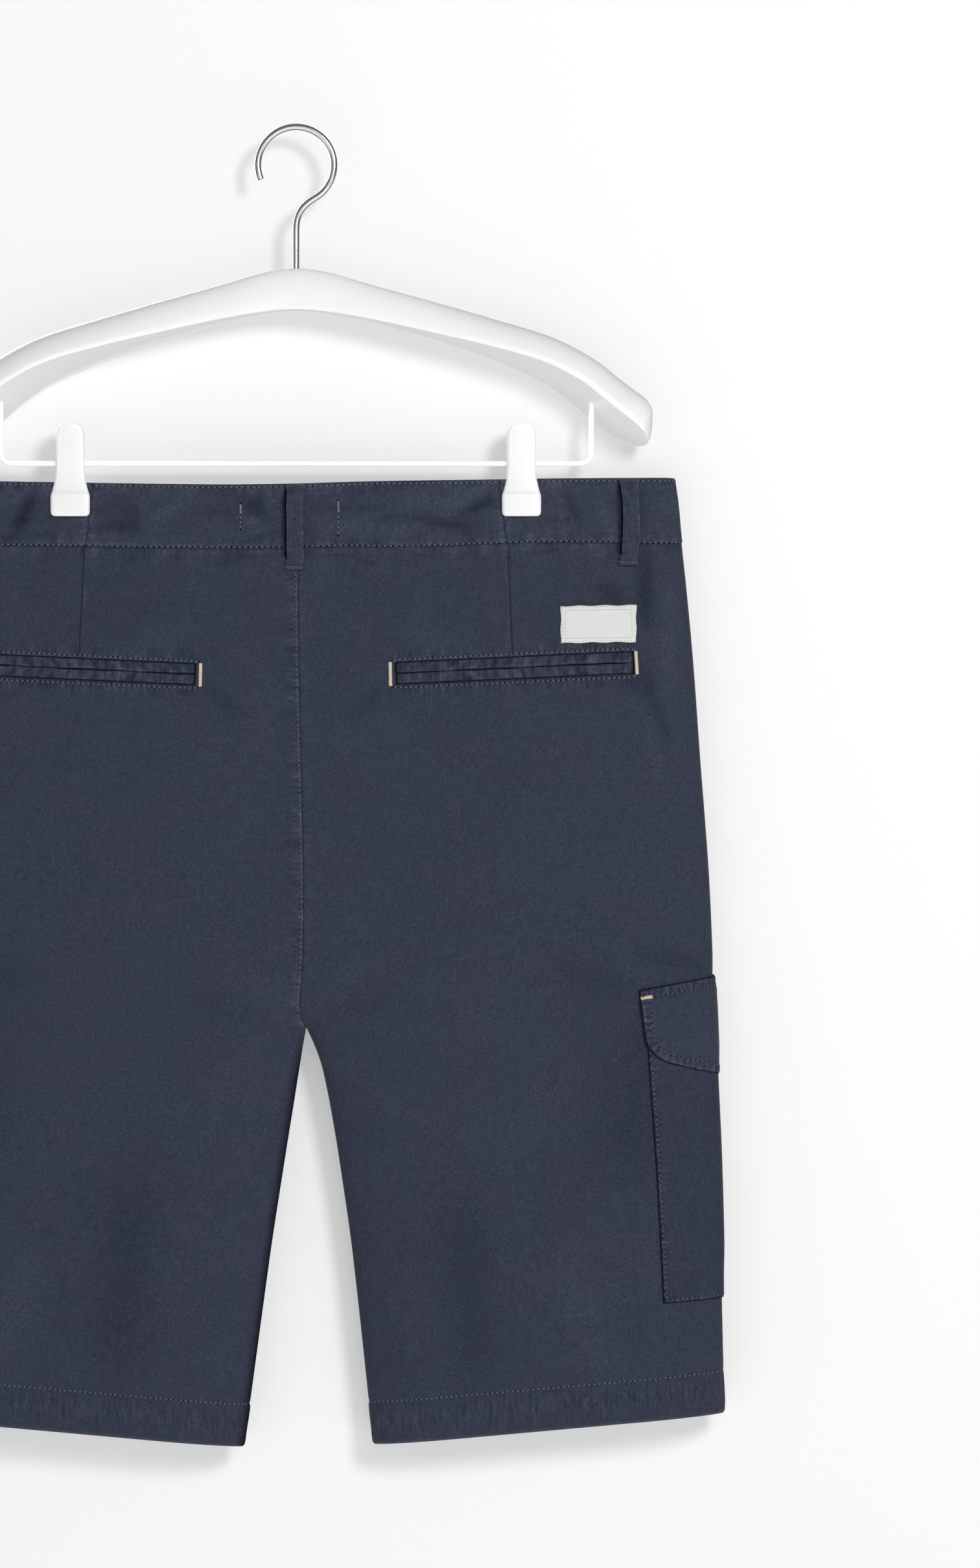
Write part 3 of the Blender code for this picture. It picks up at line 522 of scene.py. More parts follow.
def gridMesh(name, points, cut, attributes):
    # a grid of rows and columns, each point put where the cloth has it
    rows, columns = points.shape[:2]
    bm = bmesh.new()
    bmesh.ops.create_grid(bm, x_segments=columns - 1, y_segments=rows - 1, size=0.5)
    mesh = newMesh(name, bm)
    flat = readAll(mesh.vertices, "co", 3).reshape(-1, 3)
    column = np.rint((flat[:, 0] + 0.5) * (columns - 1)).astype(int)
    row = np.rint((0.5 - flat[:, 1]) * (rows - 1)).astype(int)
    writeAll(mesh.vertices, "co", points[row, column] * mm)
    corner = readAll(mesh.loops, "vertex_index", kind=np.int32)
    writeAll(mesh.uv_layers.new(name="cut").data, "uv", cut[row, column][corner] * mm)
    for key, values in attributes.items():
        values = np.broadcast_to(values, (rows, columns))
        writeAll(mesh.attributes.new(key, "FLOAT", "POINT").data, "value", values[row, column])
    mesh.update()
    # faces point out of the shorts, on the back and on the front
    normalY, middleY = (readAll(mesh.polygons, key, 3)[1::3] for key in ("normal", "center"))
    if np.sum(normalY * np.sign(middleY)) < 0:
        mesh.flip_normals()
    mesh.shade_smooth()
    return mesh


def clothPiece(name, points, cut, attributes, wall, slot):
    # a thin shell of cloth that takes the place of its solid
    cut = np.stack(np.broadcast_arrays(*cut), axis=-1)
    mesh = gridMesh(name, points, cut, attributes)
    made = newObject(name + "_cloth", mesh, finishes[slot])
    clothTrees[name] = BVHTree.FromPolygons(
        [v.co for v in mesh.vertices], [p.vertices[:] for p in mesh.polygons]
    )
    shell = made.modifiers.new("thickness", "SOLIDIFY")
    shell.thickness = wall * mm
    shell.offset = -1.0
    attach(made, "root")
    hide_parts(name)


# twill and thread
twill = dict(
    colour=(0.0196, 0.0263, 0.0446), redder=(0.0217, 0.0254, 0.0453), paleWearAndHighlight=(0.080, 0.090, 0.124),
    unevenness=(  # scale, detail, roughness, swing: mottling, clouds, grain and flecks
        (26.0, 3.0, 0.5, 0.08), (150.0, 4.0, 0.6, 0.13), (1500.0, 2.0, 0.6, 0.80), (560.0, 2.0, 0.5, 0.44),
    ), grain=2, grainBump=0.12,
    hues=((380.0, 3.0), (31.0, 2.0)), wearAndHighlightNoise=(420.0, 3.0, 0.7), seamShade=0.46, darkest=0.12,
    slubs=(900.0, 55.0), slub=0.10, ribs=(570.0, 28.0), ribBump=0.05,
    pullScale=(90.0, 480.0), pullBump=0.75, paintedPuckerShading=2.3,
    roughness=0.88, gloss=0.25, sheen=0.22, sheenRoughness=0.40,
)


def twillMaterial(name, lighter=1.0):
    made = Finish(name, Roughness=twill["roughness"], Sheen_Roughness=twill["sheenRoughness"])
    place, cut, shade = made.place(), made.cut(), made.attribute("shade")
    uneven = [made.noise(place, *row[:3]) for row in twill["unevenness"]]
    tones = [made.swing(noise, row[3]) for noise, row in zip(uneven, twill["unevenness"])]
    slub = made.noise(made.mapped(cut, (*twill["slubs"], 1)), 1.0)
    darker = made.math("ADD", made.times(shade, -twill["seamShade"]), 1.0)
    # threads drawn tight beside the seams pucker the cloth: the streaks bump it and also paint the puckers'
    # light and shade into its tone
    wide, narrow = twill["pullScale"]
    pulls = []
    for scale, key in (((wide, narrow, 1), "pullAcross"), ((narrow, wide, 1), "pullDown")):
        streak = made.math("SUBTRACT", made.noise(made.mapped(cut, scale), 1.0), 0.5)
        pulls.append(made.times(streak, made.attribute(key)))
    pull = made.math("ADD", *pulls)
    paintedPuckerStreaks = made.math("ADD", made.times(pull, twill["paintedPuckerShading"]), 1.0)
    tone = made.times(*tones, made.swing(slub, twill["slub"]), darker, paintedPuckerStreaks)
    tone = made.math("MAXIMUM", tone, twill["darkest"])
    # the cloth is a little redder in places, and paler where it is worn and on its crests: partly wear,
    # partly painted highlight
    teal, redder = (tuple(c * lighter for c in twill[key]) for key in ("colour", "redder"))
    hue = made.math("ADD", *(made.noise(place, *noise) for noise in twill["hues"]))
    hue = made.times(made.math("SUBTRACT", hue, 0.75), 2.0, clamp=True)
    paleWearAndHighlight = made.math("SUBTRACT", made.noise(place, *twill["wearAndHighlightNoise"]), 0.28)
    paleWearAndHighlight = made.times(made.attribute("wearAndHighlight"), made.times(paleWearAndHighlight, 2.0, clamp=True), clamp=True)
    colour = made.mixed(paleWearAndHighlight, made.mixed(hue, teal, redder), twill["paleWearAndHighlight"])

    # the weave's slanted ribs, sheen and gloss fade where shade is painted, as in the dark of a seam
    lit = made.math("SUBTRACT", 1.0, shade, clamp=True)
    scale, turn = twill["ribs"]
    ribs = made.node("ShaderNodeTexWave", Scale=scale, Distortion=0.6, Detail=1.0,
                     Vector=made.mapped(cut, turn=math.radians(turn)))
    ribs.bands_direction = "X"
    shape = made.bump(pull, twill["pullBump"])
    shape = made.bump(uneven[twill["grain"]], twill["grainBump"], 0.6, shape)
    shape = made.bump(made.times(ribs.outputs["Fac"], lit), twill["ribBump"], 0.7, shape)
    return made.done(
        Base_Color=made.toned(colour, tone), Normal=shape, Sheen_Weight=made.times(lit, twill["sheen"]),
        Specular_IOR_Level=made.times(lit, twill["gloss"]),
    )


def threadMaterial(name, colour, roughness=0.6, gloss=1.0):
    made = Finish(name, Roughness=roughness, Sheen_Weight=0.15 * gloss, Specular_IOR_Level=0.35 * gloss)
    place = made.place()
    tone = made.swing(made.noise(place, 900.0), 0.25)
    twist = made.bump(made.noise(place, 3500.0, 1.0), 0.05)
    return made.done(Base_Color=made.toned(colour, tone), Normal=twist)


finishes["twill"] = twillMaterial("navy twill")
finishes["twill_trim"] = twillMaterial("navy twill trim", 1.06)
threads = dict(
    navy=threadMaterial("navy thread", (0.058, 0.069, 0.096)),
    pale=threadMaterial("pale thread", (0.15, 0.15, 0.177)),
    loop=threadMaterial("loop thread", (0.035, 0.043, 0.066)),
    tan=threadMaterial("tan thread", (0.52, 0.43, 0.33)),
    white=threadMaterial("white thread", (0.66, 0.68, 0.65)),
    # near-black, painted as the shade in needle holes and button eyes
    hole=threadMaterial("needle hole", (0.006, 0.007, 0.012), 0.9, 0.0),
)

# the welt pockets' place, which the backs are shaped for
welt = dict(x=125.1, z=-308.9, length=135.8, height=12.4, tilt=math.radians(2.35), recess=2.6, margin=3.0)


def weltFrame(x, z):
    # distance along and up from the middle of the pocket; x is outwards
    dx, dz = x - welt["x"], z - welt["z"]
    lean = welt["tilt"]
    return dx * math.cos(lean) + dz * math.sin(lean), dz * math.cos(lean) - dx * math.sin(lean)


def weltPlace(side, across, up, out):
    lean = welt["tilt"]
    x = welt["x"] + across * math.cos(lean) - up * math.sin(lean)
    z = welt["z"] + across * math.sin(lean) + up * math.cos(lean)
    return onFace(side * x, z, "back", out)


# backs and fronts
panel = dict(
    wall=1.1, innerSteps=(-0.12, 0.7, 1.4, 2.2, 3.2, 4.6, 6.4, 8.6, 11.2, 14.4, 18, 22, 27),
    rows=dict(
        back=((-238.7, -262.0, 1.3), (-262.0, -296.0, 2.0), (-296.0, -321.0, 1.0),
              (-321.0, -520.0, 2.0), (-520.0, -714.0, 2.9), (-714.0, -743.0, 1.4)),
        front=((-238.7, -256.0, 1.7), (-256.0, -714.0, 2.8), (-714.0, -743.0, 1.5)),
    ),
    seamOverlap=0.06, felled=(-6.9, -3.9, -1.3, -0.9), felledDepth=1.5, allowance=8.5,
    dartX=122.2, dartLean=2.6, dartZ=-270.0, seamDip=0.42, seamReach=0.7, hemStitch=24.0, hemSwell=0.35,
)


def dartLine(z):
    return panel["dartX"] - panel["dartLean"] * (z - panel["dartZ"]) / 60.0


def dartPlace(x, z):
    # distance outwards from the short seam, and 1 along its length
    return x - dartLine(z), (z > weltTop(x) + 1.0) * (z < hang["waistSeam"] - 0.6)


def weltTop(x):
    lift = welt["height"] / 2 / math.cos(welt["tilt"])
    return welt["z"] + (x - welt["x"]) * math.tan(welt["tilt"]) + lift


def panelRise(side, face, s, z, x, fromInner):
    # seam dips, puckers, the pocket's window and the hem, out of the hanging form
    fromSide = np.abs(s - hang["sideSeam"])
    dip = panel["seamDip"] * (1 - 0.55 * (1 - openness(z)))
    dip = dip * (1 - 0.85 * openness(z)) if side > 0 else dip
    rise = -dip * bell(np.maximum(fromInner, 0), panel["seamReach"])
    rise -= (panel["felledDepth"] - dip) * ease(-fromInner / 1.0)
    if side < 0:
        rise += 0.28 * ease((panel["allowance"] - fromInner) / 2.0) * openness(z) * (fromInner > 0)
    rise -= panel["seamDip"] * 0.8 * bell(fromSide, panel["seamReach"])
    belowWaist = hang["waistSeam"] - z
    rise -= 0.22 * ease(1 - (belowWaist + 0.5) / 1.6)
    seed = 10 * (side + 2) + (1 if face == "back" else 2)
    pucker = ripples(s, np.maximum(belowWaist, 0.0), 14.0, seed, 8.5, 2.3, 0.45)
    middle = np.where(z > hang["crotch"], np.maximum(fromInner, 0.0), 99.0)
    reach, height = (12.0, 0.42) if side < 0 else (6.0, 0.20)
    pucker += ripples(z, middle, reach, seed + 40, 6.5, 1.5, height)
    pucker += ripples(z, fromSide, 7.0, seed + 60, 9.0, 1.8, 0.24)
    above = z - hang["hemLine"]
    inHem = ease((panel["hemStitch"] - above) / 1.6)
    rise += panel["hemSwell"] * inHem
    rise -= 0.30 * bell(above - panel["hemStitch"] - 0.4, 1.1)
    rise += 0.20 * inHem * np.sin((s + 0.5 * above) / 2.7 + 1.3 * np.sin(s / 9.0)) * ease(above / 5.0)
    rise -= 0.8 * ease(1 - above / 1.5)
    if face == "back":
        # a short seam runs from the waist to the hip pocket
        fromDart, onDart = dartPlace(x, z)
        rise -= 0.42 * bell(fromDart, 0.5) * onDart
        rise += 0.22 * ease((7.0 + fromDart) / 2.0) * (fromDart < 0) * onDart
        pucker += ripples(z, -fromDart, 7.0, seed + 90, 5.5, 1.4, 0.30) * (fromDart < 0) * onDart
        # the pocket's window lies deeper, with puckers round it
        length, up = weltFrame(x, z)
        past, out = np.abs(length) - welt["length"] / 2, np.abs(up) - welt["height"] / 2
        rise -= welt["recess"] * ease(0.5 - past) * ease(0.5 - out)
        beyond = np.maximum(past, 0.0)
        rise -= 0.14 * (bell(out - 1.9, 0.8) * ease(1 - beyond / 2.0))
        near = out - 2.4
        around = ripples(length, np.maximum(near, 0.0), 8.0, seed + 80, 6.5, 1.9, 0.40)
        pucker += around * (near > 0) * ease(1 - beyond / 3.0)
    return rise + pucker, pucker


def panelColumns(side, face, levels):
    # s of every column at each level: close together at the seams and the pocket
    tube = tubes[side]
    sign = 1 if face == "back" else -1
    seamEnd = sign * hang["sideSeam"] + panel["seamOverlap"]
    if face == "back":
        first, last = (tube.reachAt(welt["x"] + k * welt["length"] / 2, welt["z"], "back") for k in (-1, 1))
        dart = tube.reachAt(panel["dartX"], panel["dartZ"], "back")
        margin = welt["margin"]
        fixed = spaced(
            (first + margin, first - margin, 0.75), (first - margin, dart + 2.4, 2.5),
            (dart + 2.4, dart - 2.4, 0.4), (dart - 2.4, last + margin, 2.5),
            (last + margin, last - margin, 0.75), (last - margin, 14, 2.2), (14, -3, 1.4),
            (-3, seamEnd, 0.75),
        )
        spread = 13
    else:
        fixed = spaced((171, 16, 3.0), (16, 10, 2.0), (10, seamEnd, 0.8))
        spread = 9
    steps = np.array(panel["innerSteps"], float)
    rows = []
    for end, share in zip(sign * tube.end(levels, face), openness(levels)):
        # the left side carries the felled edge that the right one lies against
        felled = np.array(panel["felled"]) * max(share**0.3, 0.04) + steps[0] if side < 0 else []
        inner = end - np.concatenate([felled, steps])
        between = np.linspace(inner[-1], fixed[0], spread + 1)[1:-1]
        rows.append(np.concatenate([inner, between, fixed]))
    return sign * np.array(rows)


def panelLook(side, face, s, z, x, fromInner, pucker):
    # where a panel is paler from wear and painted highlight, gets painted shade in its seams, hollows,
    # pocket window and beside the fork, or is drawn tight by its stitches
    fromSide = np.abs(s - hang["sideSeam"])
    upper = z > hang["crotch"]
    below, above = hang["waistSeam"] - z, z - hang["hemLine"]
    shade = np.maximum(0.22 * bell(fromInner - 0.1, 0.4), bell(fromSide, 0.8))
    shade = np.maximum(shade, 0.4 * ease(1 - below / 1.4))
    wearAndHighlight = (0.60 * bell(fromInner - 0.6, 0.5) * (side < 0) + 0.08 * bell(fromInner - 2.6, 1.6)) * upper
    wearAndHighlight = wearAndHighlight + 0.22 * bell(fromSide - 2.2, 1.5) + 0.08 * bell(below - 2.6, 1.5)
    wearAndHighlight = wearAndHighlight + 0.5 * ease(1 - above / 2.0)
    pullAcross = ease(1 - fromInner / 11.0) if side < 0 else 0.4 * ease(1 - fromInner / 5.0)
    pullAcross = pullAcross * upper + 0.7 * ease(1 - fromSide / 6)
    pullDown = 0.4 * ease(1 - below / 12.0) + 0.8 * ease(1 - np.abs(above - 14) / 14.0)
    if face == "back":
        length, up = weltFrame(x, z)
        past, out = np.abs(length) - welt["length"] / 2, np.abs(up) - welt["height"] / 2
        inX = ease((welt["length"] / 2 + welt["margin"] - np.abs(length)) / welt["margin"])
        wearAndHighlight += 0.50 * bell(out - 0.55, 0.35) * inX
        pullDown += 0.8 * inX * ease(1 - np.abs(out - 3.0) / 7.0)
        # painted shade along the window's edges, darkest at the top and the ends
        edge = bell(out + 0.3, 0.38) * (past < 0.4) * np.where(up > 0, 1.5, 0.6)
        shade = np.maximum(shade, np.maximum(edge, 1.7 * bell(past + 0.2, 0.5) * (out < 0.4)))
        fromDart, onDart = dartPlace(x, z)
        shade = np.maximum(shade, 0.85 * bell(fromDart - 0.1, 0.42) * onDart)
        wearAndHighlight += 0.22 * bell(fromDart + 1.1, 0.6) * onDart
        if side < 0:
            # painted shadow, as from the right leg, on the felled edge and the cloth beside the fork
            fork = ease((hang["crotch"] - z + 2) / 26)
            shade = np.maximum(shade, 1.30 * ease(1 - fromInner / 10.0) * fork)
    else:
        # painted shade along the front's inner edge below the fork
        shade = np.maximum(shade, 1.6 * ease(1 - fromInner / 3.0) * (z < hang["crotch"]))
    crest, hollow = paintedCrestAndHollow(pucker, 0.36)
    wearAndHighlight, shade = wearAndHighlight + 0.40 * crest, np.maximum(shade, 0.65 * hollow)
    crest, hollow = paintedCrestAndHollow(foldHeight(x, z, face, small=True), 0.8)
    wearAndHighlight, shade = wearAndHighlight + 0.18 * crest, shade + 0.50 * hollow
    return dict(shade=shade, wearAndHighlight=wearAndHighlight, pullAcross=pullAcross, pullDown=np.clip(pullDown, 0, 1))


def panelSheet(side, face, name):
    tube = tubes[side]
    levels = spaced(*panel["rows"][face])
    s = panelColumns(side, face, levels)
    z = np.broadcast_to(levels[:, None], s.shape).copy()
    x = along(hang["sideEdge"], z) - np.abs(s) + 1.2
    if face == "back":
        # the rows lean with the pocket near it
        lean = math.tan(welt["tilt"]) * np.clip(x - welt["x"], -72, 72)
        z += lean * ease(1 - np.abs(z - welt["z"]) / 62.0) * ease((hang["waistSeam"] - z - 1) / 10)
    points, _ = tube.at(s, z)
    x = side * points[..., 0]
    fromInner = (1 if face == "back" else -1) * (tube.end(z, face) - s)
    rise, pucker = panelRise(side, face, s, z, x, fromInner)
    points, _ = tube.at(s, z, rise)
    look = panelLook(side, face, s, z, x, fromInner, pucker)
    clothPiece(f"{face}_{name}", points, (side * s, z), look, panel["wall"], "twill")


for side, name in sides:
    for face in faces:
        panelSheet(side, face, name)
print("backs and fronts")

# waistband: an outer and an inner layer, folded at the top
band = dict(
    height=36.3, proud=0.6, depth=2.2, wall=0.8, seamTop=116.1, seamFoot=120.4, overlap=20.0,
    underlap=16.0, ramp=12.0, frontWidth=190.0, topStitch=1.7, footStitch=0.45, columnStep=2.1,
    foldTurns=7, innerRows=(36.3, 30, 24, 18, 12, 6, 2.4),
    outerRows=((1.1, 3.5, 0.6), (3.5, 33.0, 1.5), (33.0, 36.3, 0.55)),
)


def bandRows():
    # for each row: how far down the band it is, how far out of the hips, and 1 on the outer layer
    radius = band["depth"] / 2
    middle = band["proud"] - radius
    inside = [(down, band["proud"] - band["depth"]) for down in band["innerRows"]]
    turns = np.linspace(math.pi, 0, band["foldTurns"])
    fold = [(radius - radius * math.sin(a), middle + radius * math.cos(a)) for a in turns]
    outer = [(down, band["proud"]) for down in spaced(*band["outerRows"])[1:]]
    down, out = np.array(inside + fold + outer).T
    return down, out, np.arange(len(down)) >= len(inside) + band["foldTurns"] // 2


def bandLevel(down, frontShare):
    top = hang["waistTop"] - hang["frontDip"] * frontShare
    return top + (hang["waistSeam"] + hang["seamGap"] - top) * down / band["height"]


def bandSeam(down):
    return band["seamTop"] + (band["seamFoot"] - band["seamTop"]) * down / band["height"]


def dipShare(s, outwards):
    # how much of the dip in front the waist has reached
    onFront = (s < 0) & (outwards < band["frontWidth"])
    dip = 0.1 + 0.9 * (1 - (outwards / band["frontWidth"]) ** 2)
    return np.where(onFront, dip, 0.1 * ease((14 - s) / 40))


def bandRise(lengthwise, down, fromEnds, seed):
    # stitch rows draw the cloth in, and it puckers between them
    above = band["height"] - down
    rise = -0.16 * bell(down - band["topStitch"], 0.8)
    rise -= 0.16 * bell(above - band["footStitch"], 0.7)
    pucker = ripples(lengthwise, np.maximum(down - 1.0, 0.0), 11.0, seed, 7.5, 2.0, 0.50)
    pucker += ripples(lengthwise, np.maximum(above - 0.7, 0.0), 12.0, seed + 1, 7.0, 2.1, 0.50)
    pucker += ripples(down, fromEnds, 10.0, seed + 2, 5.0, 1.5, 0.60)
    slant = np.abs(lengthwise * 0.9 + 55 * np.sin(seed)) % 64.0
    pucker += ripples(down + 0.14 * lengthwise, slant, 44.0, seed + 3, 8.0, 2.4, 0.55)
    rise += 0.30 * np.sin(lengthwise / 17.0 + 0.12 * down) * np.sin(down / band["height"] * math.pi)
    rise -= 0.40 * ease(1 - above / 0.9)
    rise -= 0.32 * bell(fromEnds, 0.6)
    return rise + pucker, pucker


def bandLook(down, outside, fromEnds, pucker, fold):
    # painted shade in the seams at the band's ends, at its foot and in its hollows; its folded edges are
    # paler as wear, and its crests paler as wear and painted highlight
    above = band["height"] - down
    shade = 0.35 * bell(fromEnds, 0.5) + 0.1 * ease(1 - above / 0.5)
    wearAndHighlight = 0.05 + 0.45 * bell(down, 0.9) + 0.20 * bell(down - 34.6, 0.9)
    wearAndHighlight += 0.20 * bell(fromEnds - 2.0, 1.4) + 0.12 * bell(down - 4.5, 3.0)
    for height, size, paler, darker in ((pucker, 0.50, 0.34, 0.60), (fold, 0.55, 0.30, 0.75)):
        crest, hollow = paintedCrestAndHollow(height, size)
        wearAndHighlight, shade = wearAndHighlight + paler * crest, shade + darker * hollow
    pullDown = 0.35 * ease(1 - np.abs(down - band["topStitch"]) / 8.0) + 0.40 * ease(1 - above / 9.0)
    pullAcross = 0.6 * ease(1 - fromEnds / 9.0)
    return dict(shade=shade * outside, wearAndHighlight=wearAndHighlight * outside, pullDown=pullDown, pullAcross=pullAcross)


def bandPiece(name, rows, points, down, s, fromEnds, pucker, fold):
    cut = (s, -runOf(rows[0], rows[1])[:, None])
    look = bandLook(down, rows[2][:, None], fromEnds, pucker, fold)
    clothPiece(f"waistband_{name}", points, cut, look, band["wall"], "twill")


def bandBack():
    rows = bandRows()
    share = np.linspace(-1, 1, round(2 * band["seamTop"] / band["columnStep"]) + 1)
    share = np.sort(np.concatenate([share, [-0.994, -0.988, 0.988, 0.994]]))
    down, share = grid(rows[0], share)
    x = share * (bandSeam(down) + 0.05)
    z = bandLevel(down, 0.0)
    fromEnds = bandSeam(down) - np.abs(x)
    rise, pucker = bandRise(x, down, fromEnds, 200)
    points, _ = onFace(x, z, "back", rows[1][:, None] + rise * rows[2][:, None])
    fold = foldHeight(x, z, "back", small=True)
    bandPiece("back", rows, points, down, x, fromEnds, pucker, fold)


def bandSide(side, name):
    # from the back seam round the side to the front, where the left end laps over the right
    tube = tubes[side]
    rows = bandRows()
    levels = bandLevel(rows[0], 0.0)
    start = np.array([tube.reachAt(bandSeam(d) - 0.05, z, "back") for d, z in zip(rows[0], levels)])
    finish = tube.end(levels, "front") - (band["underlap"] if side > 0 else band["overlap"])
    inner = spaced((0, 3, 0.75), (3, 198, 2.2), (198, 232, 1.6), (232, 432, 2.4))
    share = np.concatenate([inner[:-1] / inner[-1], [0.9975, 1.0]])
    start, finish = start[:, None], finish[:, None]
    s = start + (finish - start) * share
    down, _ = grid(rows[0], share)
    flatPoints, _ = tube.at(s, levels[:, None])
    outwards = side * flatPoints[..., 0]
    z = bandLevel(down, dipShare(s, outwards))
    fromEnds = np.minimum(start - s, s - finish)
    rise, pucker = bandRise(s, down, fromEnds, 210 + 10 * side)
    rise = (rise - 0.8 * pucker * ease(1 - np.abs(s) / 14.0)) * rows[2][:, None]
    if side > 0:
        under = ease((band["overlap"] + band["ramp"] - outwards) / 10.0) * (s < 0)
        rise = rise - (band["depth"] + hang["seamGap"]) * under
    points, _ = tube.at(s, z, rows[1][:, None] + rise)
    back, front = (foldHeight(side * outwards, z, face, small=True) for face in faces)
    bandPiece(name, rows, points, down, side * s, fromEnds, pucker, np.where(s > 0, back, front))


bandBack()
for side, name in sides:
    bandSide(side, name)
print("waistband")

# belt loops: a folded tape, sewn down at both ends and standing clear between them
loop = dict(
    width=10.4, length=48.8, arch=5.2, wall=1.3, laid=0.4, gap=0.10,
    columns=(-0.10, -0.06, -0.015, 0, 0.03, 0.08, 0.15, 0.25, 0.38, 0.5, 0.62, 0.75, 0.85, 0.92, 0.97, 1.0),
    places=(  # name, x, face, sideways bow
        ("belt_loop_back_right", 190.0, "back", 1.4), ("belt_loop_back_left", -190.0, "back", 1.4),
        ("belt_loop_middle", -0.8, "back", 0.0), ("belt_loop_front_right", 80.0, "front", 0.0),
        ("belt_loop_front_left", -80.0, "front", 0.0),
    ),
)


def loopPoints(x, face, bow, u, v, out=0.0):
    # u is across the tape and v down it, 0 to 1; below 0, u is on a strip beside the tape that is painted
    # dark as shadow
    clear = loop["gap"] * ease(v / 0.10) * ease((0.93 - v) / 0.07)
    u = np.where(u < 0, (1 + u / loop["gap"]) * clear, clear + u * (1 - clear))
    top = hang["waistTop"] - 0.6
    if face == "front":
        top -= hang["frontDip"] * (1 - (x / band["frontWidth"]) ** 2)
    z = top - loop["length"] * v
    raised = ease(v / 0.13) * ease((0.90 - v) / 0.13)
    sewn = np.where(z > hang["waistSeam"], band["proud"], 0.0)
    under = (sewn + loop["laid"]) * (1 - raised) + (band["proud"] + loop["arch"]) * raised
    lean = 0.35 * np.sin(v * 7.0 + x) + 0.5 * ease((v - 0.88) / 0.1) * (u < 0.5)
    wide = loop["width"] * (1 + 0.02 * np.sin(v * 11.0 + x) - 0.09 * ease((v - 0.84) / 0.1))
    across = x + (u - 0.5) * wide + bow * np.sin(math.pi * v) - lean * 0.3
    return onFace(across, z, face, under + out)


def beltLoop(name, x, face, bow):
    # the last three rows are the end, turned under
    rows = np.append(spaced((0, 0.2, 0.02), (0.2, 0.8, 0.022), (0.8, 1.0, 0.014)), [1.0, 0.985, 0.95])
    v, u = grid(rows, loop["columns"])
    roll = np.append(np.zeros(len(rows) - 3), [-0.5, -0.95, -1.0])[:, None]
    # on the left, where the tape stands clear, a lowered strip of under layer shows, painted dark as the
    # shadow in the gap
    under = ease(-u / 0.02)
    edge = np.clip(np.minimum(u, 1 - u), 0, 1) * loop["width"]
    out = 1.5 - 0.55 * bell(edge, 0.55) + 0.15 * np.sin(math.pi * u)
    out -= 0.16 * bell(edge - 2.2, 0.6)
    out += 0.10 * np.sin(v * loop["length"] / 1.7 + 5 * u) * ease(1 - edge / 2.4)
    out += roll - 2.2 * under
    out -= 0.5 * ease(1 - v / 0.02)
    points, _ = loopPoints(x, face, bow, u, v, out)
    cut = ((u - 0.5) * loop["width"] + x, -loop["length"] * runOf(rows, 0 * rows)[:, None])
    wearAndHighlight = (0.5 * bell(edge, 0.7) + 0.5 * ease((v - 0.965) / 0.03)) * (1 - under)
    look = dict(shade=1.8 * under, wearAndHighlight=wearAndHighlight, pullAcross=ease(1 - edge / 2.6), pullDown=0.4)
    clothPiece(name, points, cut, look, loop["wall"], "twill_trim")


for row in loop["places"]:
    beltLoop(*row)
print("belt loops")

# welts: two folded strips that close the hip pockets
jet = dict(
    wall=0.65, waves=0.20, end=67.6, columns=((-67.6, -64.4, 0.8), (-64.4, 64.4, 1.5), (64.4, 67.6, 0.8)),
    section=(  # distance from the pocket's edge towards its middle, height out of the back
        (-0.15, -1.1), (0.35, -0.55), (0.9, -0.22), (1.6, -0.05), (2.5, 0.10), (3.4, 0.20), (4.3, 0.24),
        (5.0, 0.16), (5.5, -0.06), (5.8, -0.42), (5.95, -0.95), (5.8, -1.5), (5.3, -1.8), (4.2, -1.9),
        (2.6, -1.9), (0.9, -1.9),
    ),
)


def weltPiece(side, name, upper):
    sign = 1 if upper else -1
    fold, out = np.array(jet["section"]).T
    down, across = grid(fold, spaced(*jet["columns"]))
    seed = 300 + 10 * (side + 1) + (1 if upper else 0)
    wave = jet["waves"] * (np.sin(across / 9.0 + seed) + 0.7 * np.sin(across / 3.4 + 2 * seed))
    up = sign * (welt["height"] / 2 - down - wave * ease(down / 5.0) * 0.8)
    ends = ease((jet["end"] + 0.2 - np.abs(across)) / 1.6)
    outside = out[:, None] > -0.5
    rise = ripples(across, down, 6.5, seed, 5.0, 1.8, 0.62) * ease((5.6 - down) / 1.5) * outside
    rise += ripples(across, 5.8 - down, 4.0, seed + 5, 7.0, 2.2, 0.5) * outside
    drawn = np.sin(2 * math.pi * (across + 0.6 * down) / 8.4 + 1.5 * np.sin(across / 13.0 + seed))
    rise += 0.24 * drawn * ease(down / 1.5) * ease((5.8 - down) / 1.5) * outside
    points, _ = weltPlace(side, across, up, out[:, None] + rise - 1.0 * (1 - ends))
    # the fold is paler as wear; the mouth, the ends and the edge under the window get painted shade, and the
    # puckers paler crests and painted shade in their hollows
    wearAndHighlight = 0.30 * bell(down - 5.3, 0.4)
    shade = ease((down - 5.75) / 0.2) + 0.9 * (1 - ends) + 1.2 * ease((0.7 - down) / 0.5)
    crest, hollow = paintedCrestAndHollow(rise * outside, 0.42)
    wearAndHighlight, shade = wearAndHighlight + 0.40 * crest, shade + 0.65 * hollow
    look = dict(shade=np.clip(shade, 0, 1.8), wearAndHighlight=wearAndHighlight, pullDown=0.9, pullAcross=0)
    clothPiece(f"welt_{'upper' if upper else 'lower'}_{name}", points, (across, -runOf(fold, out)[:, None]),
               look, jet["wall"], "twill_trim")


for side, name in sides:
    for upper in (True, False):
        weltPiece(side, name, upper)
print("hip pocket welts")

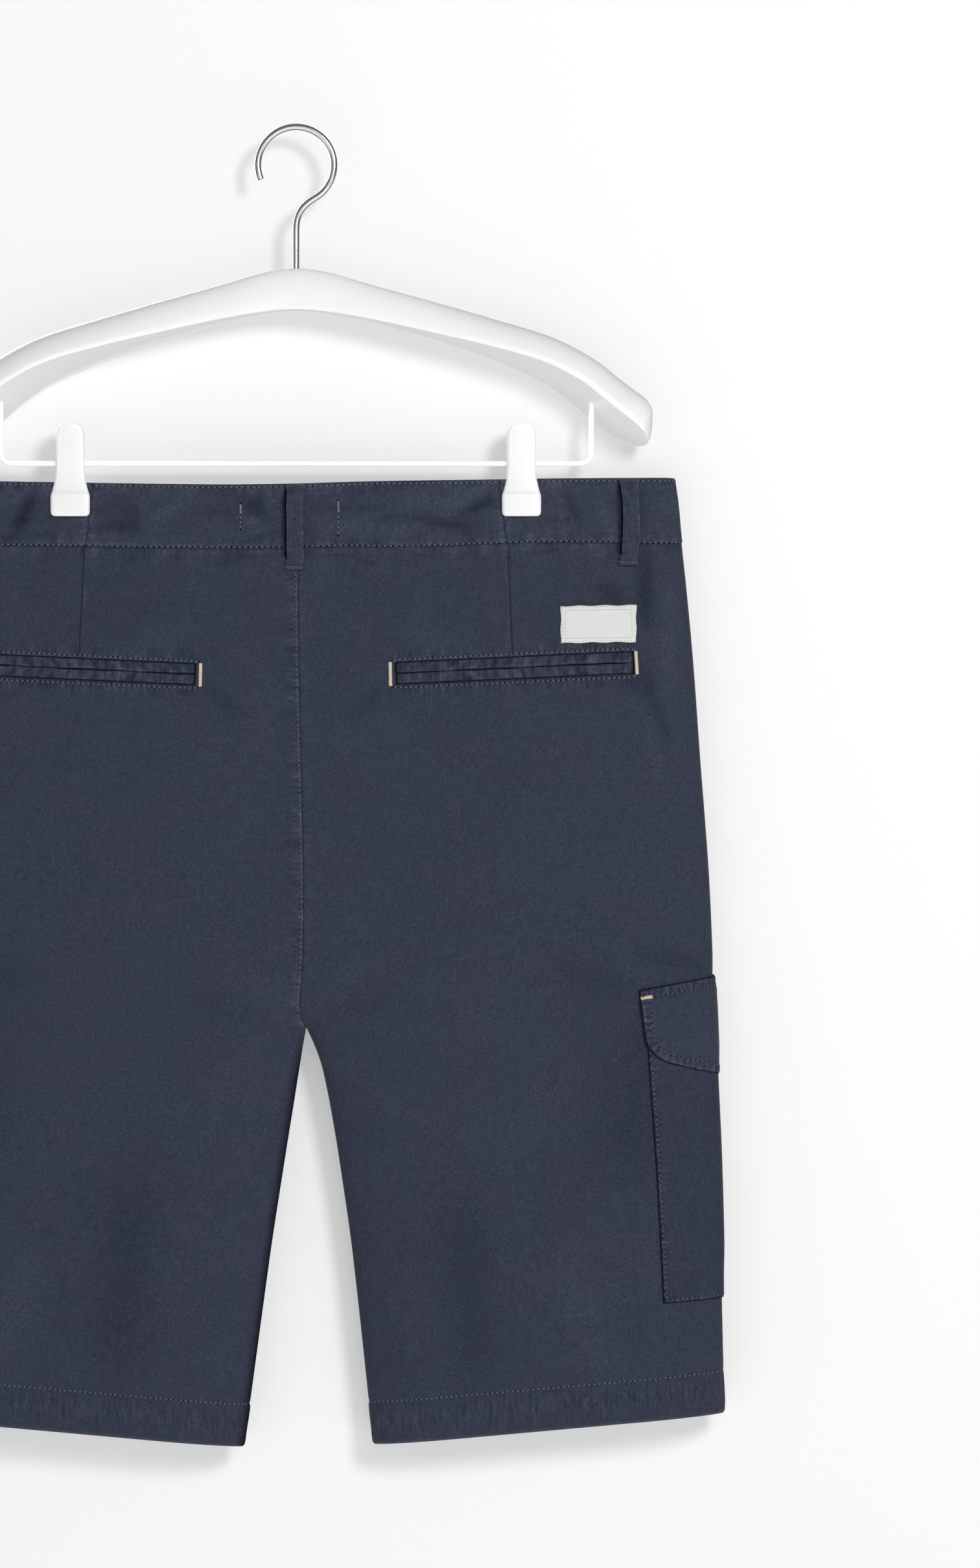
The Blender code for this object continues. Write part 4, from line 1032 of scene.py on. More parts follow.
# cargo pockets and flaps, by s: the distance round the leg from its outer edge, + on the back
pocket = dict(
    back=43.2, backFoot=38.6, front=-111.0, foot=-675.0, belowFlap=13.0, out=1.4, wall=0.9,
    stitch=1.9, turned=9.0, corner=28.0, ridge=9.5, shade=0.14,
)
flap = dict(
    back=46.8, backFoot=44.2, front=-117.0, frontFoot=-113.7, top=-483.8, slope=0.17,
    low=-543.5, lowS=-36.0, curve=0.0022, corner=(14.0, 11.0), taper=(28.0, -94.0),
    sewn=2.0, rise=6.5, wall=1.0, out=1.7, over=1.4, stitch=5.0,
)


def flapTop(s):
    return flap["top"] - flap["slope"] * s


def flapFoot(s):
    level = flap["low"] + flap["curve"] * (s - flap["lowS"]) ** 2
    reach, lift = flap["corner"]
    end = np.where(s > flap["lowS"], flap["backFoot"], flap["frontFoot"])
    into = np.clip(1 - np.abs(end - s) / reach, 0.0, 1.0)
    return level + lift * (1 - np.sqrt(1 - into * into))


def flapPlace(upper, share):
    # the flap is a little narrower at its foot
    back, front = flap["taper"]
    atBack = (flap["back"] - flap["backFoot"]) * np.clip((upper - back) / (flap["back"] - back), 0, 1)
    atFront = (flap["frontFoot"] - flap["front"]) * np.clip((front - upper) / (front - flap["front"]), 0, 1)
    lower = upper + (atFront - atBack)
    top = flapTop(upper)
    return upper + (lower - upper) * share, top + (flapFoot(lower) - top) * share


def flapOutline():
    # back edge, foot and front edge, from the top at the back to the top at the front
    shares, turn = np.linspace(0, 1, 12), 15 * np.linspace(0, 1, 30) ** 2
    foot = np.concatenate([flap["back"] - turn, np.linspace(30, -100, 40), flap["front"] + turn[::-1]])
    back, foot, front = (
        np.stack(flapPlace(*edge), -1)
        for edge in ((flap["back"], shares), (foot, np.ones(len(foot))), (flap["front"], shares))
    )
    return np.concatenate([back[:-1], foot, front[::-1][1:]])


def nearestOn(outline, s, z):
    # distance from an outline, and how far round it the nearest point is
    a, b = outline[:-1], outline[1:]
    starts = runOf(*outline.T)
    best, place = np.full(s.shape, 1e9), np.zeros(s.shape)
    for (s0, z0), (s1, z1), length, start in zip(a, b, np.hypot(*(b - a).T), starts):
        t = np.clip(((s - s0) * (s1 - s0) + (z - z0) * (z1 - z0)) / length**2, 0, 1)
        away = np.hypot(s - s0 - t * (s1 - s0), z - z0 - t * (z1 - z0))
        closer = away < best
        best, place = np.where(closer, away, best), np.where(closer, start + t * length, place)
    return best, place


def edgeLook(away, place, stitch, seed, spacing, height):
    # a turned edge: rolled, thicker as far as its stitches, and puckered across; its rim is painted dark as
    # shade, its hollows get painted shade, and it is paler near the edge as wear, and on its crests as wear
    # and as painted highlight
    rise = -0.85 * bell(away, 0.75) + 0.22 * ease((stitch - away) / 1.5 + 0.5)
    rise -= 0.22 * bell(away - stitch, 0.8)
    pleat = np.sin(place / 4.3 * 2 * math.pi + 1.6 * np.sin(place / 9.0 + seed))
    pleat = height * pleat * ease(away / 1.2) * ease((stitch + 1.0 - away) / 1.8)
    pucker = pleat + ripples(place, away, stitch * 1.15, seed, spacing, 1.3, 0.5 * height)
    pucker += ripples(place, np.maximum(away - stitch, 0), 5.0, seed + 1, 6.0, 1.8, 0.16) * (away > stitch)
    crest, hollow = paintedCrestAndHollow(pucker, 0.30)
    wearAndHighlight = 0.30 * bell(away - 1.2, 0.8) * (0.5 + crest)
    wearAndHighlight += 0.14 * ease(1 - away / (stitch + 1.0)) + 0.26 * crest
    shade = np.maximum(0.4 * bell(away - stitch, 0.5), 0.55 * hollow)
    shade = np.maximum(shade, 1.7 * ease(1.4 - away / 0.60))
    return rise + pucker, wearAndHighlight, shade


def flapPiece(side, name):
    upper = spaced((flap["back"], 44.6, 0.28), (44.6, 38, 0.6), (38, 14, 1.7), (14, -14, 1.3),
                   (-14, -104, 2.4), (-104, -114, 0.8), (-114, flap["front"], 0.35))
    share, upper = grid(spaced((0, 0.12, 0.012), (0.12, 0.84, 0.026), (0.84, 1.0, 0.011)), upper)
    s, z = flapPlace(upper, share)
    away, place = nearestOn(flapOutline(), s, z)
    rise, wearAndHighlight, shade = edgeLook(away, place, flap["stitch"], 400 + side, 4.6, 0.34)
    down = flapTop(upper) - z
    fromTop, wearAndHighlightTop, shadeTop = edgeLook(down, s, flap["stitch"], 420 + side, 5.2, 0.26)
    rise = rise + fromTop * ease(away / 3.0)
    over = flap["over"] * ease((down - flap["sewn"]) / flap["rise"])
    swell = 0.55 * ease((away - 5) / 14) * ease((down - 6) / 14)
    points, _ = tubes[side].at(s, z, flap["out"] + over + rise + swell)
    look = dict(
        shade=np.maximum(shade, shadeTop), wearAndHighlight=np.clip(wearAndHighlight + 0.6 * wearAndHighlightTop, 0, 1),
        pullAcross=0.5 * ease(1 - away / 8), pullDown=ease(1 - down / 9) + 0.6 * ease(1 - away / 8),
    )
    clothPiece(f"cargo_flap_{name}", points, (side * s, z), look, flap["wall"], "twill_trim")


def pocketEdge(z):
    # the pocket's edge on the back
    top = flapTop(pocket["back"]) - pocket["belowFlap"]
    share = np.clip((z - top) / (pocket["foot"] - top), 0, 1)
    return pocket["back"] + (pocket["backFoot"] - pocket["back"]) * share


def pocketPiece(side, name):
    width = pocket["back"] - pocket["front"]
    u = spaced((0, 4, 0.7), (4, 30, 1.9), (30, 58, 1.4), (58, 148, 2.4), (148, width, 0.7)) / width
    v, u = grid(spaced((0, 0.95, 0.0115), (0.95, 1.0, 0.004)), u)
    upper = pocket["back"] + (pocket["front"] - pocket["back"]) * u
    top = flapTop(upper) - pocket["belowFlap"]
    z = top + (pocket["foot"] - top) * v
    corner = (upper - pocket["corner"]) / (pocket["back"] - pocket["corner"])
    s = upper - (pocket["back"] - pocket["backFoot"]) * np.clip(corner, 0, 1) * v
    away = np.minimum(pocketEdge(z) - s, s - pocket["front"])
    rise, wearAndHighlight, shade = edgeLook(away, z, pocket["stitch"], 440 + side, 5.0, 0.20)
    above = z - pocket["foot"]
    riseFoot, wearAndHighlightFoot, shadeFoot = edgeLook(above, s, pocket["stitch"], 450 + side, 5.5, 0.20)
    rise = rise + riseFoot + 0.18 * ease((pocket["turned"] - away) / 1.6)
    rise += 0.32 * bell(s - pocket["ridge"], 1.6) * ease((above - 7.0) / 14)
    rise += 0.9 * ease((away - 6) / 22) * ease((above - 6) / 30) * ease((top - z + 6) / 26)
    points, _ = tubes[side].at(s, z, pocket["out"] + rise)
    look = dict(
        shade=np.maximum(shade, shadeFoot) + pocket["shade"], wearAndHighlight=np.maximum(wearAndHighlight, wearAndHighlightFoot),
        pullAcross=ease(1 - away / 7), pullDown=ease(1 - above / 8),
    )
    clothPiece(f"cargo_pocket_{name}", points, (side * s, z), look, pocket["wall"], "twill")


for side, name in sides:
    pocketPiece(side, name)
    flapPiece(side, name)
print("cargo pockets")

# label: a bare woven patch with a thin border
label = dict(
    x=172.9, z=-285.1, width=43.1, height=20.4, out=1.2, wall=0.7, border=2.5, stitch=0.8, tilt=0.012,
    edge=3.2, colour=(0.545, 0.565, 0.548), line=(0.40, 0.42, 0.41), lineWidth=0.34,
)


def labelMaterial():
    woven = Finish("woven label", Roughness=0.72, Sheen_Weight=0.15)
    cut = woven.cut()
    line = woven.math("ABSOLUTE", woven.math("SUBTRACT", woven.attribute("inset"), label["border"]))
    line = woven.math("SUBTRACT", label["lineWidth"] / 2 + 0.08, line)
    line = woven.times(line, 9.0, clamp=True)
    ribs = woven.noise(woven.mapped(cut, (300.0, 2600.0, 1)), 1.0)
    soil = woven.noise(woven.mapped(cut, (120.0, 120.0, 1)), 1.0, 3.0)
    tone = woven.times(woven.swing(ribs, 0.07), woven.swing(soil, 0.05))
    colour = woven.toned(woven.mixed(line, label["colour"], label["line"]), tone)
    return woven.done(Base_Color=colour, Normal=woven.bump(ribs, 0.10))


def labelPiece():
    edge, rows, columns = label["edge"], label["height"], label["width"]
    down, across = grid(*(
        spaced((0, edge, 0.4), (edge, size - edge, 1.2), (size - edge, size, 0.4))
        for size in (rows, columns)
    ))
    inset = np.minimum(np.minimum(across, columns - across), np.minimum(down, rows - down))
    loose = np.exp(-inset / 1.6)
    dx = 0.20 * np.sin(down / 1.9 + 1.0) * loose * np.sign(across - columns / 2)
    dz = 0.22 * np.sin(across / 2.3) * loose * np.sign(down - rows / 2) + 0.08 * np.sin(across / 14.0)
    x = label["x"] + across - columns / 2 + dx
    z = label["z"] - down + rows / 2 + dz + label["tilt"] * (across - 21)
    out = label["out"] - 0.35 * bell(inset, 0.4)
    out -= 0.14 * bell(inset - label["stitch"], 0.4)
    out += 0.10 * np.sin(across / 1.15) * np.sin(down / 1.3) * loose + 0.12 * np.sin(across / 7.0)
    points, _ = onFace(x, z, "back", out)
    clothPiece("label", points, (across, -down), dict(inset=inset), label["wall"], "label")


finishes["label"] = labelMaterial()
labelPiece()
print("label")

# sewing: every stitch is a short rounded dash, laid on the cloth that it sews; dark discs at the needle
# holes are painted shade
sewing = dict(
    period=2.9, length=1.85, width=0.84, height=0.50, turn=0.14, pierced=0.70, hole=(1.35, 1.0, 0.14),
    tackPeriod=0.44, tackWidth=0.66, tackHeight=0.62, top=-243.0, seamFoot=-503.0, sideRow=-7.9,
    backTacks=((24.4, -213.6, -219.8, -232.8), (-31.4, -214.2, -219.4, -228.4)),  # x and three heights
)
stitches = {"navy": [], "loop": [], "pale": [], "tan": [], "white": []}
holeShadows = []
upwards, outOfFront, sideways = np.array([0, 0, 1.0]), np.array([0, 1.0, 0]), np.array([1.0, 0, 0])


def onCloth(nodes, points, outward):
    # where rays from outside meet the named cloths, and the way out there
    found, normals = [], []
    for point, out in zip(points, outward):
        start = Vector((point + out * 9.0) * mm)
        hits = [clothTrees[node].ray_cast(start, -Vector(out), 0.03) for node in nodes]
        hits = [hit for hit in hits if hit[0] is not None]
        place, normal = point, out
        if hits:
            nearest = min(hits, key=lambda hit: hit[3])
            place, normal = np.array(nearest[0]) / mm, np.array(nearest[1])
        found.append(place)
        normals.append(normal if np.dot(normal, out) > 0 else -normal)
    return np.array(found), np.array(normals)


def laid(nodes, path, period, shift=0.5):
    # places at equal steps along a path on the cloth, each with its direction and the way out
    points, outward = path
    run = np.concatenate([[0], np.cumsum(np.linalg.norm(np.diff(points, axis=0), axis=1))])
    count = max(1, int(round(run[-1] / period)))
    at = (np.arange(count) + shift) * run[-1] / count

    def pick(where, values):
        return np.stack([np.interp(where, run, v) for v in values.T], axis=-1)

    ahead = pick(np.minimum(at + 0.4, run[-1]), points) - pick(np.maximum(at - 0.4, 0), points)
    ahead /= np.linalg.norm(ahead, axis=1)[:, None]
    places, normals = onCloth(nodes, pick(at, points), pick(at, outward))
    return list(zip(places, ahead, normals))


def sewRow(node, path, thread="navy", seed=1, pierced=sewing["pierced"], period=sewing["period"],
           length=sewing["length"], width=sewing["width"], turn=sewing["turn"]):
    nodes = [node] if isinstance(node, str) else node
    random = np.random.default_rng(seed)
    for place, way, normal in laid(nodes, path, period):
        way = way - normal * np.dot(way, normal)
        way = way / np.linalg.norm(way)
        lean = turn + random.uniform(-0.09, 0.09)
        way = way * math.cos(lean) + np.cross(normal, way) * math.sin(lean)
        size = (length * random.uniform(0.92, 1.06), width, sewing["height"])
        stitches[thread].append((place + normal * 0.05, way, normal, size))
    # dark discs where the needle went in, painted shade of the dimples that the thread pulls in
    if pierced:
        long, high, deep = sewing["hole"]
        for place, way, normal in laid(nodes, path, period, 0.0):
            size = random.uniform(0.75, 1.1) * (period / sewing["period"]) * pierced
            holeShadows.append((place, way, normal, (long * size, high * size, deep)))


def barTack(node, path, wide, thread="tan", period=sewing["tackPeriod"]):
    # threads packed side by side across a short row
    for i, (place, way, normal) in enumerate(laid([node], path, period)):
        lean = 0.07 if i % 2 else -0.07
        turned = np.cross(normal, way) * math.cos(lean) + way * math.sin(lean)
        size = (wide * (1.0 + 0.07 * math.sin(i * 2.3)), sewing["tackWidth"], sewing["tackHeight"])
        stitches[thread].append((place + normal * 0.10, turned, normal, size))


def stitchUnit(rings=5):
    # a ball drawn along x, with blunt ends
    bm = bmesh.new()
    bmesh.ops.create_uvsphere(bm, u_segments=6, v_segments=rings, radius=1.0)
    for vert in bm.verts:
        x, y, z = vert.co
        vert.co = (math.copysign(abs(z) ** 0.8, z), y, -x)
    bmesh.ops.recalc_face_normals(bm, faces=bm.faces)
    return newMesh("stitch", bm)


def repeated(name, unit, places, material):
    # one mesh of many copies of a small shape
    bm = bmesh.new()
    for _ in places:
        bm.from_mesh(unit)
    mesh = newMesh(name, bm)
    shape = np.array([v.co for v in unit.vertices])
    blocks = []
    for place, way, normal, size in places:
        way = way / np.linalg.norm(way)
        normal = normal - way * np.dot(way, normal)
        normal = normal / np.linalg.norm(normal)
        turn = np.array([way, np.cross(normal, way), normal])
        blocks.append(place + (shape * np.array(size) / 2) @ turn)
    writeAll(mesh.vertices, "co", np.concatenate(blocks) * mm)
    mesh.update()
    mesh.shade_smooth()
    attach(newObject(name, mesh, material), "root")


def facePath(x, z, face, out=2.0):
    return onFace(x, z, face, out)


def sidePath(side, s, z, out=2.0):
    return tubes[side].at(s, z, out)


def sewWaistband():
    for number, down in enumerate((band["topStitch"], band["height"] - band["footStitch"])):
        row = dict(period=3.2, length=2.0, pierced=0.7 + 0.2 * number)
        end = bandSeam(down) - 0.8
        x = np.linspace(-end, end, 160)
        wave = 0.22 * np.sin(x / 11.0) + 0.14 * np.sin(x / 4.7 + number)
        path = facePath(x, bandLevel(down, 0.0) + wave * (number - 0.5), "back")
        sewRow("waistband_back", path, seed=10 + number, **row)
        for side, name in sides:
            tube = tubes[side]
            level = bandLevel(down, 0.0)
            start = tube.reachAt(bandSeam(down) + 0.8, level, "back")
            finish = tube.end(level, "front") + (21.5 if side > 0 else -19.0)
            s = np.linspace(start, finish, 420)
            points, _ = tube.at(s, level)
            path = sidePath(side, s, bandLevel(down, dipShare(s, side * points[:, 0])))
            sewRow(f"waistband_{name}", path, seed=20 + number + 2 * side, **row)
    # the front end of the left side
    down = np.linspace(2.5, 34.0, 20)
    sewRow("waistband_left", facePath(18.2, bandLevel(down, 1.0), "front"), seed=31)


def sewBackTacks():
    # a short zigzag over a few straight stitches, with a dark disc at either end, painted shade in its hole
    for x, top, middle, foot in sewing["backTacks"]:
        thin = dict(node="waistband_back", thread="pale", width=0.5, turn=0.0)
        down = np.linspace(top, middle, 13)
        for k, ends in enumerate(zip(down, down[1:])):
            aside = 0.55 * (-1) ** k
            path = facePath([x - aside, x + aside], ends, "back")
            sewRow(path=path, period=9.0, length=1.5, pierced=0, **thin)
        down = np.linspace(middle - 1.0, foot, 8)
        sewRow(path=facePath(x, down, "back"), period=3.0, length=1.3, pierced=0.5, **thin)
        for level in (top + 0.4, foot - 0.3):
            place, normal = onCloth(["waistband_back"], *facePath([x], level, "back"))
            holeShadows.append((place[0], upwards, normal[0], (1.4, 1.2, 0.16)))


def sewMiddle():
    # one row beside the middle seam, on the left of it
    for face, top, aside in (("back", -253.0, 1.45), ("front", sewing["top"], 1.6)):
        z = np.linspace(top, sewing["seamFoot"], 180)
        path = facePath(along(hang["middleSeam"], z) - aside, z, face)
        sewRow(f"{face}_left", path, "loop", 40, 0.48)


def sewDart():
    # small stitches beside the short seam from the waist to the hip pocket
    z = np.linspace(-241.5, -301.0, 40)
    for side, name in sides:
        path = facePath(side * (dartLine(z) - 0.55), z, "back")
        sewRow(f"back_{name}", path, "loop", 50, 0, 2.6, 1.0, 0.34, 0.5)


def sewSides():
    z = np.linspace(sewing["top"], -716.0, 260)
    for side, name in sides:
        for seed, clear in ((60, z > flapTop(-6.0) + 1.0), (61, z < pocket["foot"] - 1.0)):
            sewRow(f"front_{name}", sidePath(side, sewing["sideRow"], z[clear]), seed=seed)


def sewHems():
    level = hang["hemLine"] + panel["hemStitch"] + 0.3
    for side, name in sides:
        for face, past in zip(faces, (1.0, -1.0)):
            s = np.linspace(tubes[side].end(level, face) * 0.985, hang["sideSeam"] + past, 160)
            sewRow(f"{face}_{name}", sidePath(side, s, level), seed=70)


def sewWelts():
    for side, name in sides:
        for sign, beyond in ((1, 1.45), (-1, 1.9)):
            across = np.linspace(-69.7, 69.3, 60)
            bent = 0.8 * ease((across - 63.0) / 6.0) + 0.3 * ease((-63.0 - across) / 6.0)
            level = sign * (welt["height"] / 2 + beyond - bent)
            sewRow(f"back_{name}", weltPlace(side, across, level, 2.0), seed=80 + sign, pierced=0.95)
        for end, tall, tilt in ((-71.0, 1.05, 0.02), (69.5, 1.0, -0.02)):
            up = np.linspace(-6.6, 6.1, 12) * tall
            barTack(f"back_{name}", weltPlace(side, end + tilt * up, up, 2.0), 2.05)


def sewLoops():
    for name, x, face, bow in loop["places"]:
        v, u = np.linspace(0.02, 0.965, 40), np.linspace(0.06, 0.94, 10)
        for column in (0.215, 0.785):
            path = loopPoints(x, face, bow, column, v, 4.0)
            sewRow(name, path, "loop", 90, 0, 2.8, 1.3, 0.36)
        for row, thread in ((0.965, "navy"), (0.03, "loop")):
            barTack(name, loopPoints(x, face, bow, u, row, 4.0), 1.1, thread, 0.8)


def insetPath(outline, inset):
    # an outline moved inwards, without the loops that tight corners make
    ahead = np.gradient(outline, axis=0)
    ahead /= np.hypot(*ahead.T)[:, None] + 1e-9
    moved = outline + inset * np.stack([ahead[:, 1], -ahead[:, 0]], -1)
    away, _ = nearestOn(outline, moved[:, 0], moved[:, 1])
    return moved[away > inset * 0.985]


def sewPockets():
    for side, name in sides:
        patch, lid = f"cargo_pocket_{name}", f"cargo_flap_{name}"
        s, z = insetPath(flapOutline(), flap["stitch"]).T
        below = z < flapTop(s) - flap["stitch"] + 0.5
        sewRow(lid, sidePath(side, s[below], z[below], 4.0), "loop", 100)
        s = np.linspace(flap["back"] - 1.0, flap["front"] + 1.0, 120)
        sewRow(lid, sidePath(side, s, flapTop(s) - flap["stitch"], 4.0), "loop", 101)
        width = flap["back"] - flap["front"]
        for near, far in ((1.0, 7.4), (width - 7.4, width - 1.0)):
            s = flap["back"] - np.linspace(near, far, 8)
            barTack(lid, sidePath(side, s, flapTop(s) - flap["stitch"], 4.0), 2.3)
        # the patch's two sides, as far as the flap hides them, and its foot
        z = np.linspace(flapTop(43) - 20.0, pocket["foot"] + pocket["stitch"], 90)
        z = z[z < flapFoot(40.0) - 1.0]
        sewRow(patch, sidePath(side, pocketEdge(z) - pocket["stitch"], z, 4.0), "loop", 102)
        z = z[z < flapFoot(-110.0) - 1.0]
        sewRow(patch, sidePath(side, pocket["front"] + pocket["stitch"], z, 4.0), "loop", 103)
        s = np.linspace(pocket["backFoot"] - 1.0, pocket["front"] + 1.0, 110)
        sewRow(patch, sidePath(side, s, pocket["foot"] + pocket["stitch"], 4.0), "loop", 104)


def sewFront():
    # the fly's curved row, and two rows along each slanted pocket mouth
    z = np.linspace(sewing["top"], -352.0, 60)
    turn = np.linspace(0, math.pi / 2, 24)
    x = np.concatenate([37.0 + 0 * z, 5.0 + 32.0 * np.cos(turn)])
    z = np.concatenate([z, -352.0 - 44.0 * np.sin(turn)])
    sewRow(["front_right", "front_left"], facePath(-x, z, "front"), seed=110)
    z = np.linspace(sewing["top"], -392.0, 60)
    down = (sewing["top"] - z) / 149.0
    for side, name in sides:
        for inset in (1.6, 7.4):
            x = np.minimum(168.0 + 60.0 * down**1.25 - inset, along(hang["sideEdge"], z) - 3.0)
            sewRow(f"front_{name}", facePath(side * x, z, "front"), seed=120)


def sewLabel():
    halfX, halfZ = label["width"] / 2 - label["stitch"], label["height"] / 2 - label["stitch"]
    corners = [(-halfX, halfZ), (halfX, halfZ), (halfX, -halfZ), (-halfX, -halfZ), (-halfX, halfZ)]
    for start, end in zip(corners, corners[1:]):
        x, z = np.linspace(start, end, 30).T
        path = facePath(label["x"] + x, label["z"] + z + label["tilt"] * x, "back", 3.0)
        sewRow("label", path, "white", 130, 0, 2.0, 1.45, 0.42)
        holeShadows.extend((*place, (0.38, 0.32, 0.08)) for place in laid(["label"], path, 2.0, 0.0))


for sew in (sewWaistband, sewBackTacks, sewMiddle, sewDart, sewSides, sewHems, sewWelts, sewLoops,
            sewPockets, sewFront, sewLabel):
    sew()
stitch = stitchUnit()
for name, thread in (("navy_stitches", "navy"), ("pale_tacks", "pale"), ("loop_stitches", "loop"),
                     ("tan_bar_tacks", "tan"), ("white_stitches", "white")):
    repeated(name, stitch, stitches[thread], threads[thread])
repeated("needle_hole_shadows", stitchUnit(4), holeShadows, threads["hole"])
print("sewing:", {name: len(places) for name, places in stitches.items()}, "holes:", len(holeShadows))

# waist button
button = dict(
    x=1.0, colour=(0.022, 0.024, 0.036), steps=48, eye=1.5,
    profile=(  # radius, height
        (0, 0), (7.4, 0), (8.1, 0.35), (8.5, 1.1), (8.45, 1.9), (8.0, 2.5), (7.4, 2.8), (6.8, 2.55),
        (6.3, 2.1), (5.6, 2.0), (0, 1.95),
    ),
)


def buttonMaterial():
    dull = Finish("button", Roughness=0.36, Specular_IOR_Level=0.5, Base_Color=button["colour"])
    return dull.done(Normal=dull.bump(dull.noise(dull.place(), 500.0), 0.05))


def waistButton():
    # a disc with a raised rim, turned round its middle
    centre, _ = onFace(button["x"], bandLevel(band["height"] / 2 + 0.05, 1.0), "front", band["proud"] + 0.35)
    bm = bmesh.new()
    verts = [bm.verts.new((r * mm, 0, h * mm)) for r, h in button["profile"]]
    for a, b in zip(verts, verts[1:]):
        bm.edges.new((a, b))
    bmesh.ops.spin(
        bm, geom=bm.verts[:] + bm.edges[:], cent=(0, 0, 0), axis=(0, 0, 1), dvec=(0, 0, 0),
        angle=2 * math.pi, steps=button["steps"], use_merge=True, use_duplicate=False,
    )
    bmesh.ops.remove_doubles(bm, verts=bm.verts, dist=1e-6)
    bmesh.ops.recalc_face_normals(bm, faces=bm.faces)
    facing = Vector(upwards).rotation_difference(Vector(outOfFront)).to_matrix()
    bmesh.ops.rotate(bm, verts=bm.verts, cent=(0, 0, 0), matrix=facing)
    bmesh.ops.translate(bm, verts=bm.verts, vec=Vector(centre) * mm)
    mesh = newMesh("waist_button_turned", bm)
    mesh.shade_smooth()
    made = newObject("waist_button_turned", mesh, buttonMaterial())
    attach(made, "root")
    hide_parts("waist_button")
    # the eyes are dark discs, painted shade in the button's holes, and thread runs down between the eyes on
    # either side
    strands, eyes = [], []
    for dx in (-button["eye"], button["eye"]):
        for dz in (-button["eye"], button["eye"]):
            eyes.append((centre + (dx, 2.0, dz), sideways, outOfFront, (1.9, 1.9, 0.3)))
        for aside in (-0.4, 0.0, 0.4):
            strands.append((centre + (dx + aside, 2.15, 0.0), upwards, outOfFront, (3.6, 0.45, 0.5)))
    repeated("button_eye_shadows", stitch, eyes, threads["hole"])
    repeated("button_thread", stitch, strands, threads["navy"])


waistButton()
print("waist button")

# hanger: moulded arms, coated bar, bright hook and four clip jaws
# lit, wireLit and underLit are emission strengths, a painted glow in glowColour that keeps the white plastic
# bright; under is the colour of the arms' underside, painted greyer as shade
plastic = dict(
    colour=(0.60, 0.602, 0.598), roughness=0.34, lit=0.18, under=(0.31, 0.302, 0.268), underLit=0.31,
    wire=(0.74, 0.74, 0.736), wireRoughness=0.3, wireLit=0.245, glow=0.55, glowDepth=8.0,
    glowColour=(0.96, 0.98, 1.0), glowRadius=(1.0, 0.95, 0.85),
)
steel = dict(colour=(0.66, 0.66, 0.67), roughness=0.22)


def plasticMaterial(name, colour, roughness, lit):
    moulded = Finish(
        name, Roughness=roughness, Specular_IOR_Level=0.45, Subsurface_Weight=plastic["glow"],
        Subsurface_Scale=plastic["glowDepth"] * mm, Subsurface_Radius=plastic["glowRadius"],
        Emission_Color=plastic["glowColour"],
    )
    place = moulded.place()
    toned = moulded.toned(colour, moulded.swing(moulded.noise(place, 60.0), 0.012))
    # the arms' flat underside is painted greyer as shade, up to its sharp edge, and gets its own painted
    # glow
    under = moulded.math("SUBTRACT", moulded.attribute("under"), 0.9)
    under = moulded.times(under, 12.0, clamp=True)
    return moulded.done(
        Base_Color=moulded.mixed(under, toned, plastic["under"]),
        Emission_Strength=moulded.math("ADD", moulded.times(under, plastic["underLit"]), lit),
        Normal=moulded.bump(moulded.noise(place, 700.0), 0.02),
    )


def steelMaterial():
    bright = Finish("hook steel", Metallic=1.0, Roughness=steel["roughness"], Base_Color=steel["colour"])
    return bright.done(Normal=bright.bump(bright.noise(bright.place(), 900.0), 0.02))


arm = dict(
    rows=(  # x, height of the flat underside, half width, section height, tilt in degrees
        (0, -103, 7.5, 24, 0), (14, -104, 7.8, 23, 0), (40, -108.5, 9, 20, 2), (75, -117, 11, 19, 6),
        (110, -127, 14, 19, 11.5), (140, -137.9, 16.6, 20.5, 17), (160, -149.6, 18.2, 21.4, 20),
        (171, -158.7, 18.7, 21.6, 20.5), (184, -168.8, 18.7, 22, 20), (196, -176.2, 18.4, 21.8, 19),
        (202, -179, 18, 21.6, 18),
    ), around=72, flatShare=0.34, endX=201.6, endLength=17.0, edgeColumns=2,
)
bar = dict(diameter=2.9, z=-191.0, x=169.0, bend=6.0, turnTop=-170.0, top=-146.0, straight=150)
hook = dict(wire=3.6, inner=20.0, foot=-92.0, join=-60.0, turn=262.0, neck=20.0, pull=10.0)
clip = dict(
    x=129.0, rows=(  # height, half width, outer face, inner face
        (-167.6, 3.2, 5, 3.4), (-168.2, 4.6, 5.4, 3.2), (-169.4, 6.1, 5.7, 3.1), (-171.4, 7.3, 5.8, 2.9),
        (-174.4, 8.1, 5.9, 2.9), (-187, 8.15, 5.9, 2.9), (-196, 8.2, 5.75, 3.1), (-199.5, 8.6, 5.72, 3.1),
        (-203.5, 9.45, 5.7, 3.1), (-207.4, 10.5, 5.85, 3.1), (-208.6, 10.95, 6.45, 3.1),
        (-210, 11.2, 6.65, 3.1), (-217.4, 11.2, 6.65, 3.1), (-219.4, 11.05, 6.6, 3.1),
        (-220.6, 10.5, 6.4, 3.15), (-221.3, 9.4, 5.9, 3.3),
    ), edge=1.5, crown=0.45, groove=0.05, grooveZ=-209.0, frontShift=-0.55,
    levels=((-167.6, -171.4, 0.4), (-171.4, -203.0, 2.0), (-203.0, -211.0, 0.5), (-211.0, -217.4, 1.6),
            (-217.4, -221.3, 0.3)),
)


def readRows(rows, at):
    # every further column of a table, read by its first
    return (along([(row[0], row[k]) for row in rows], at) for k in range(1, len(rows[0])))


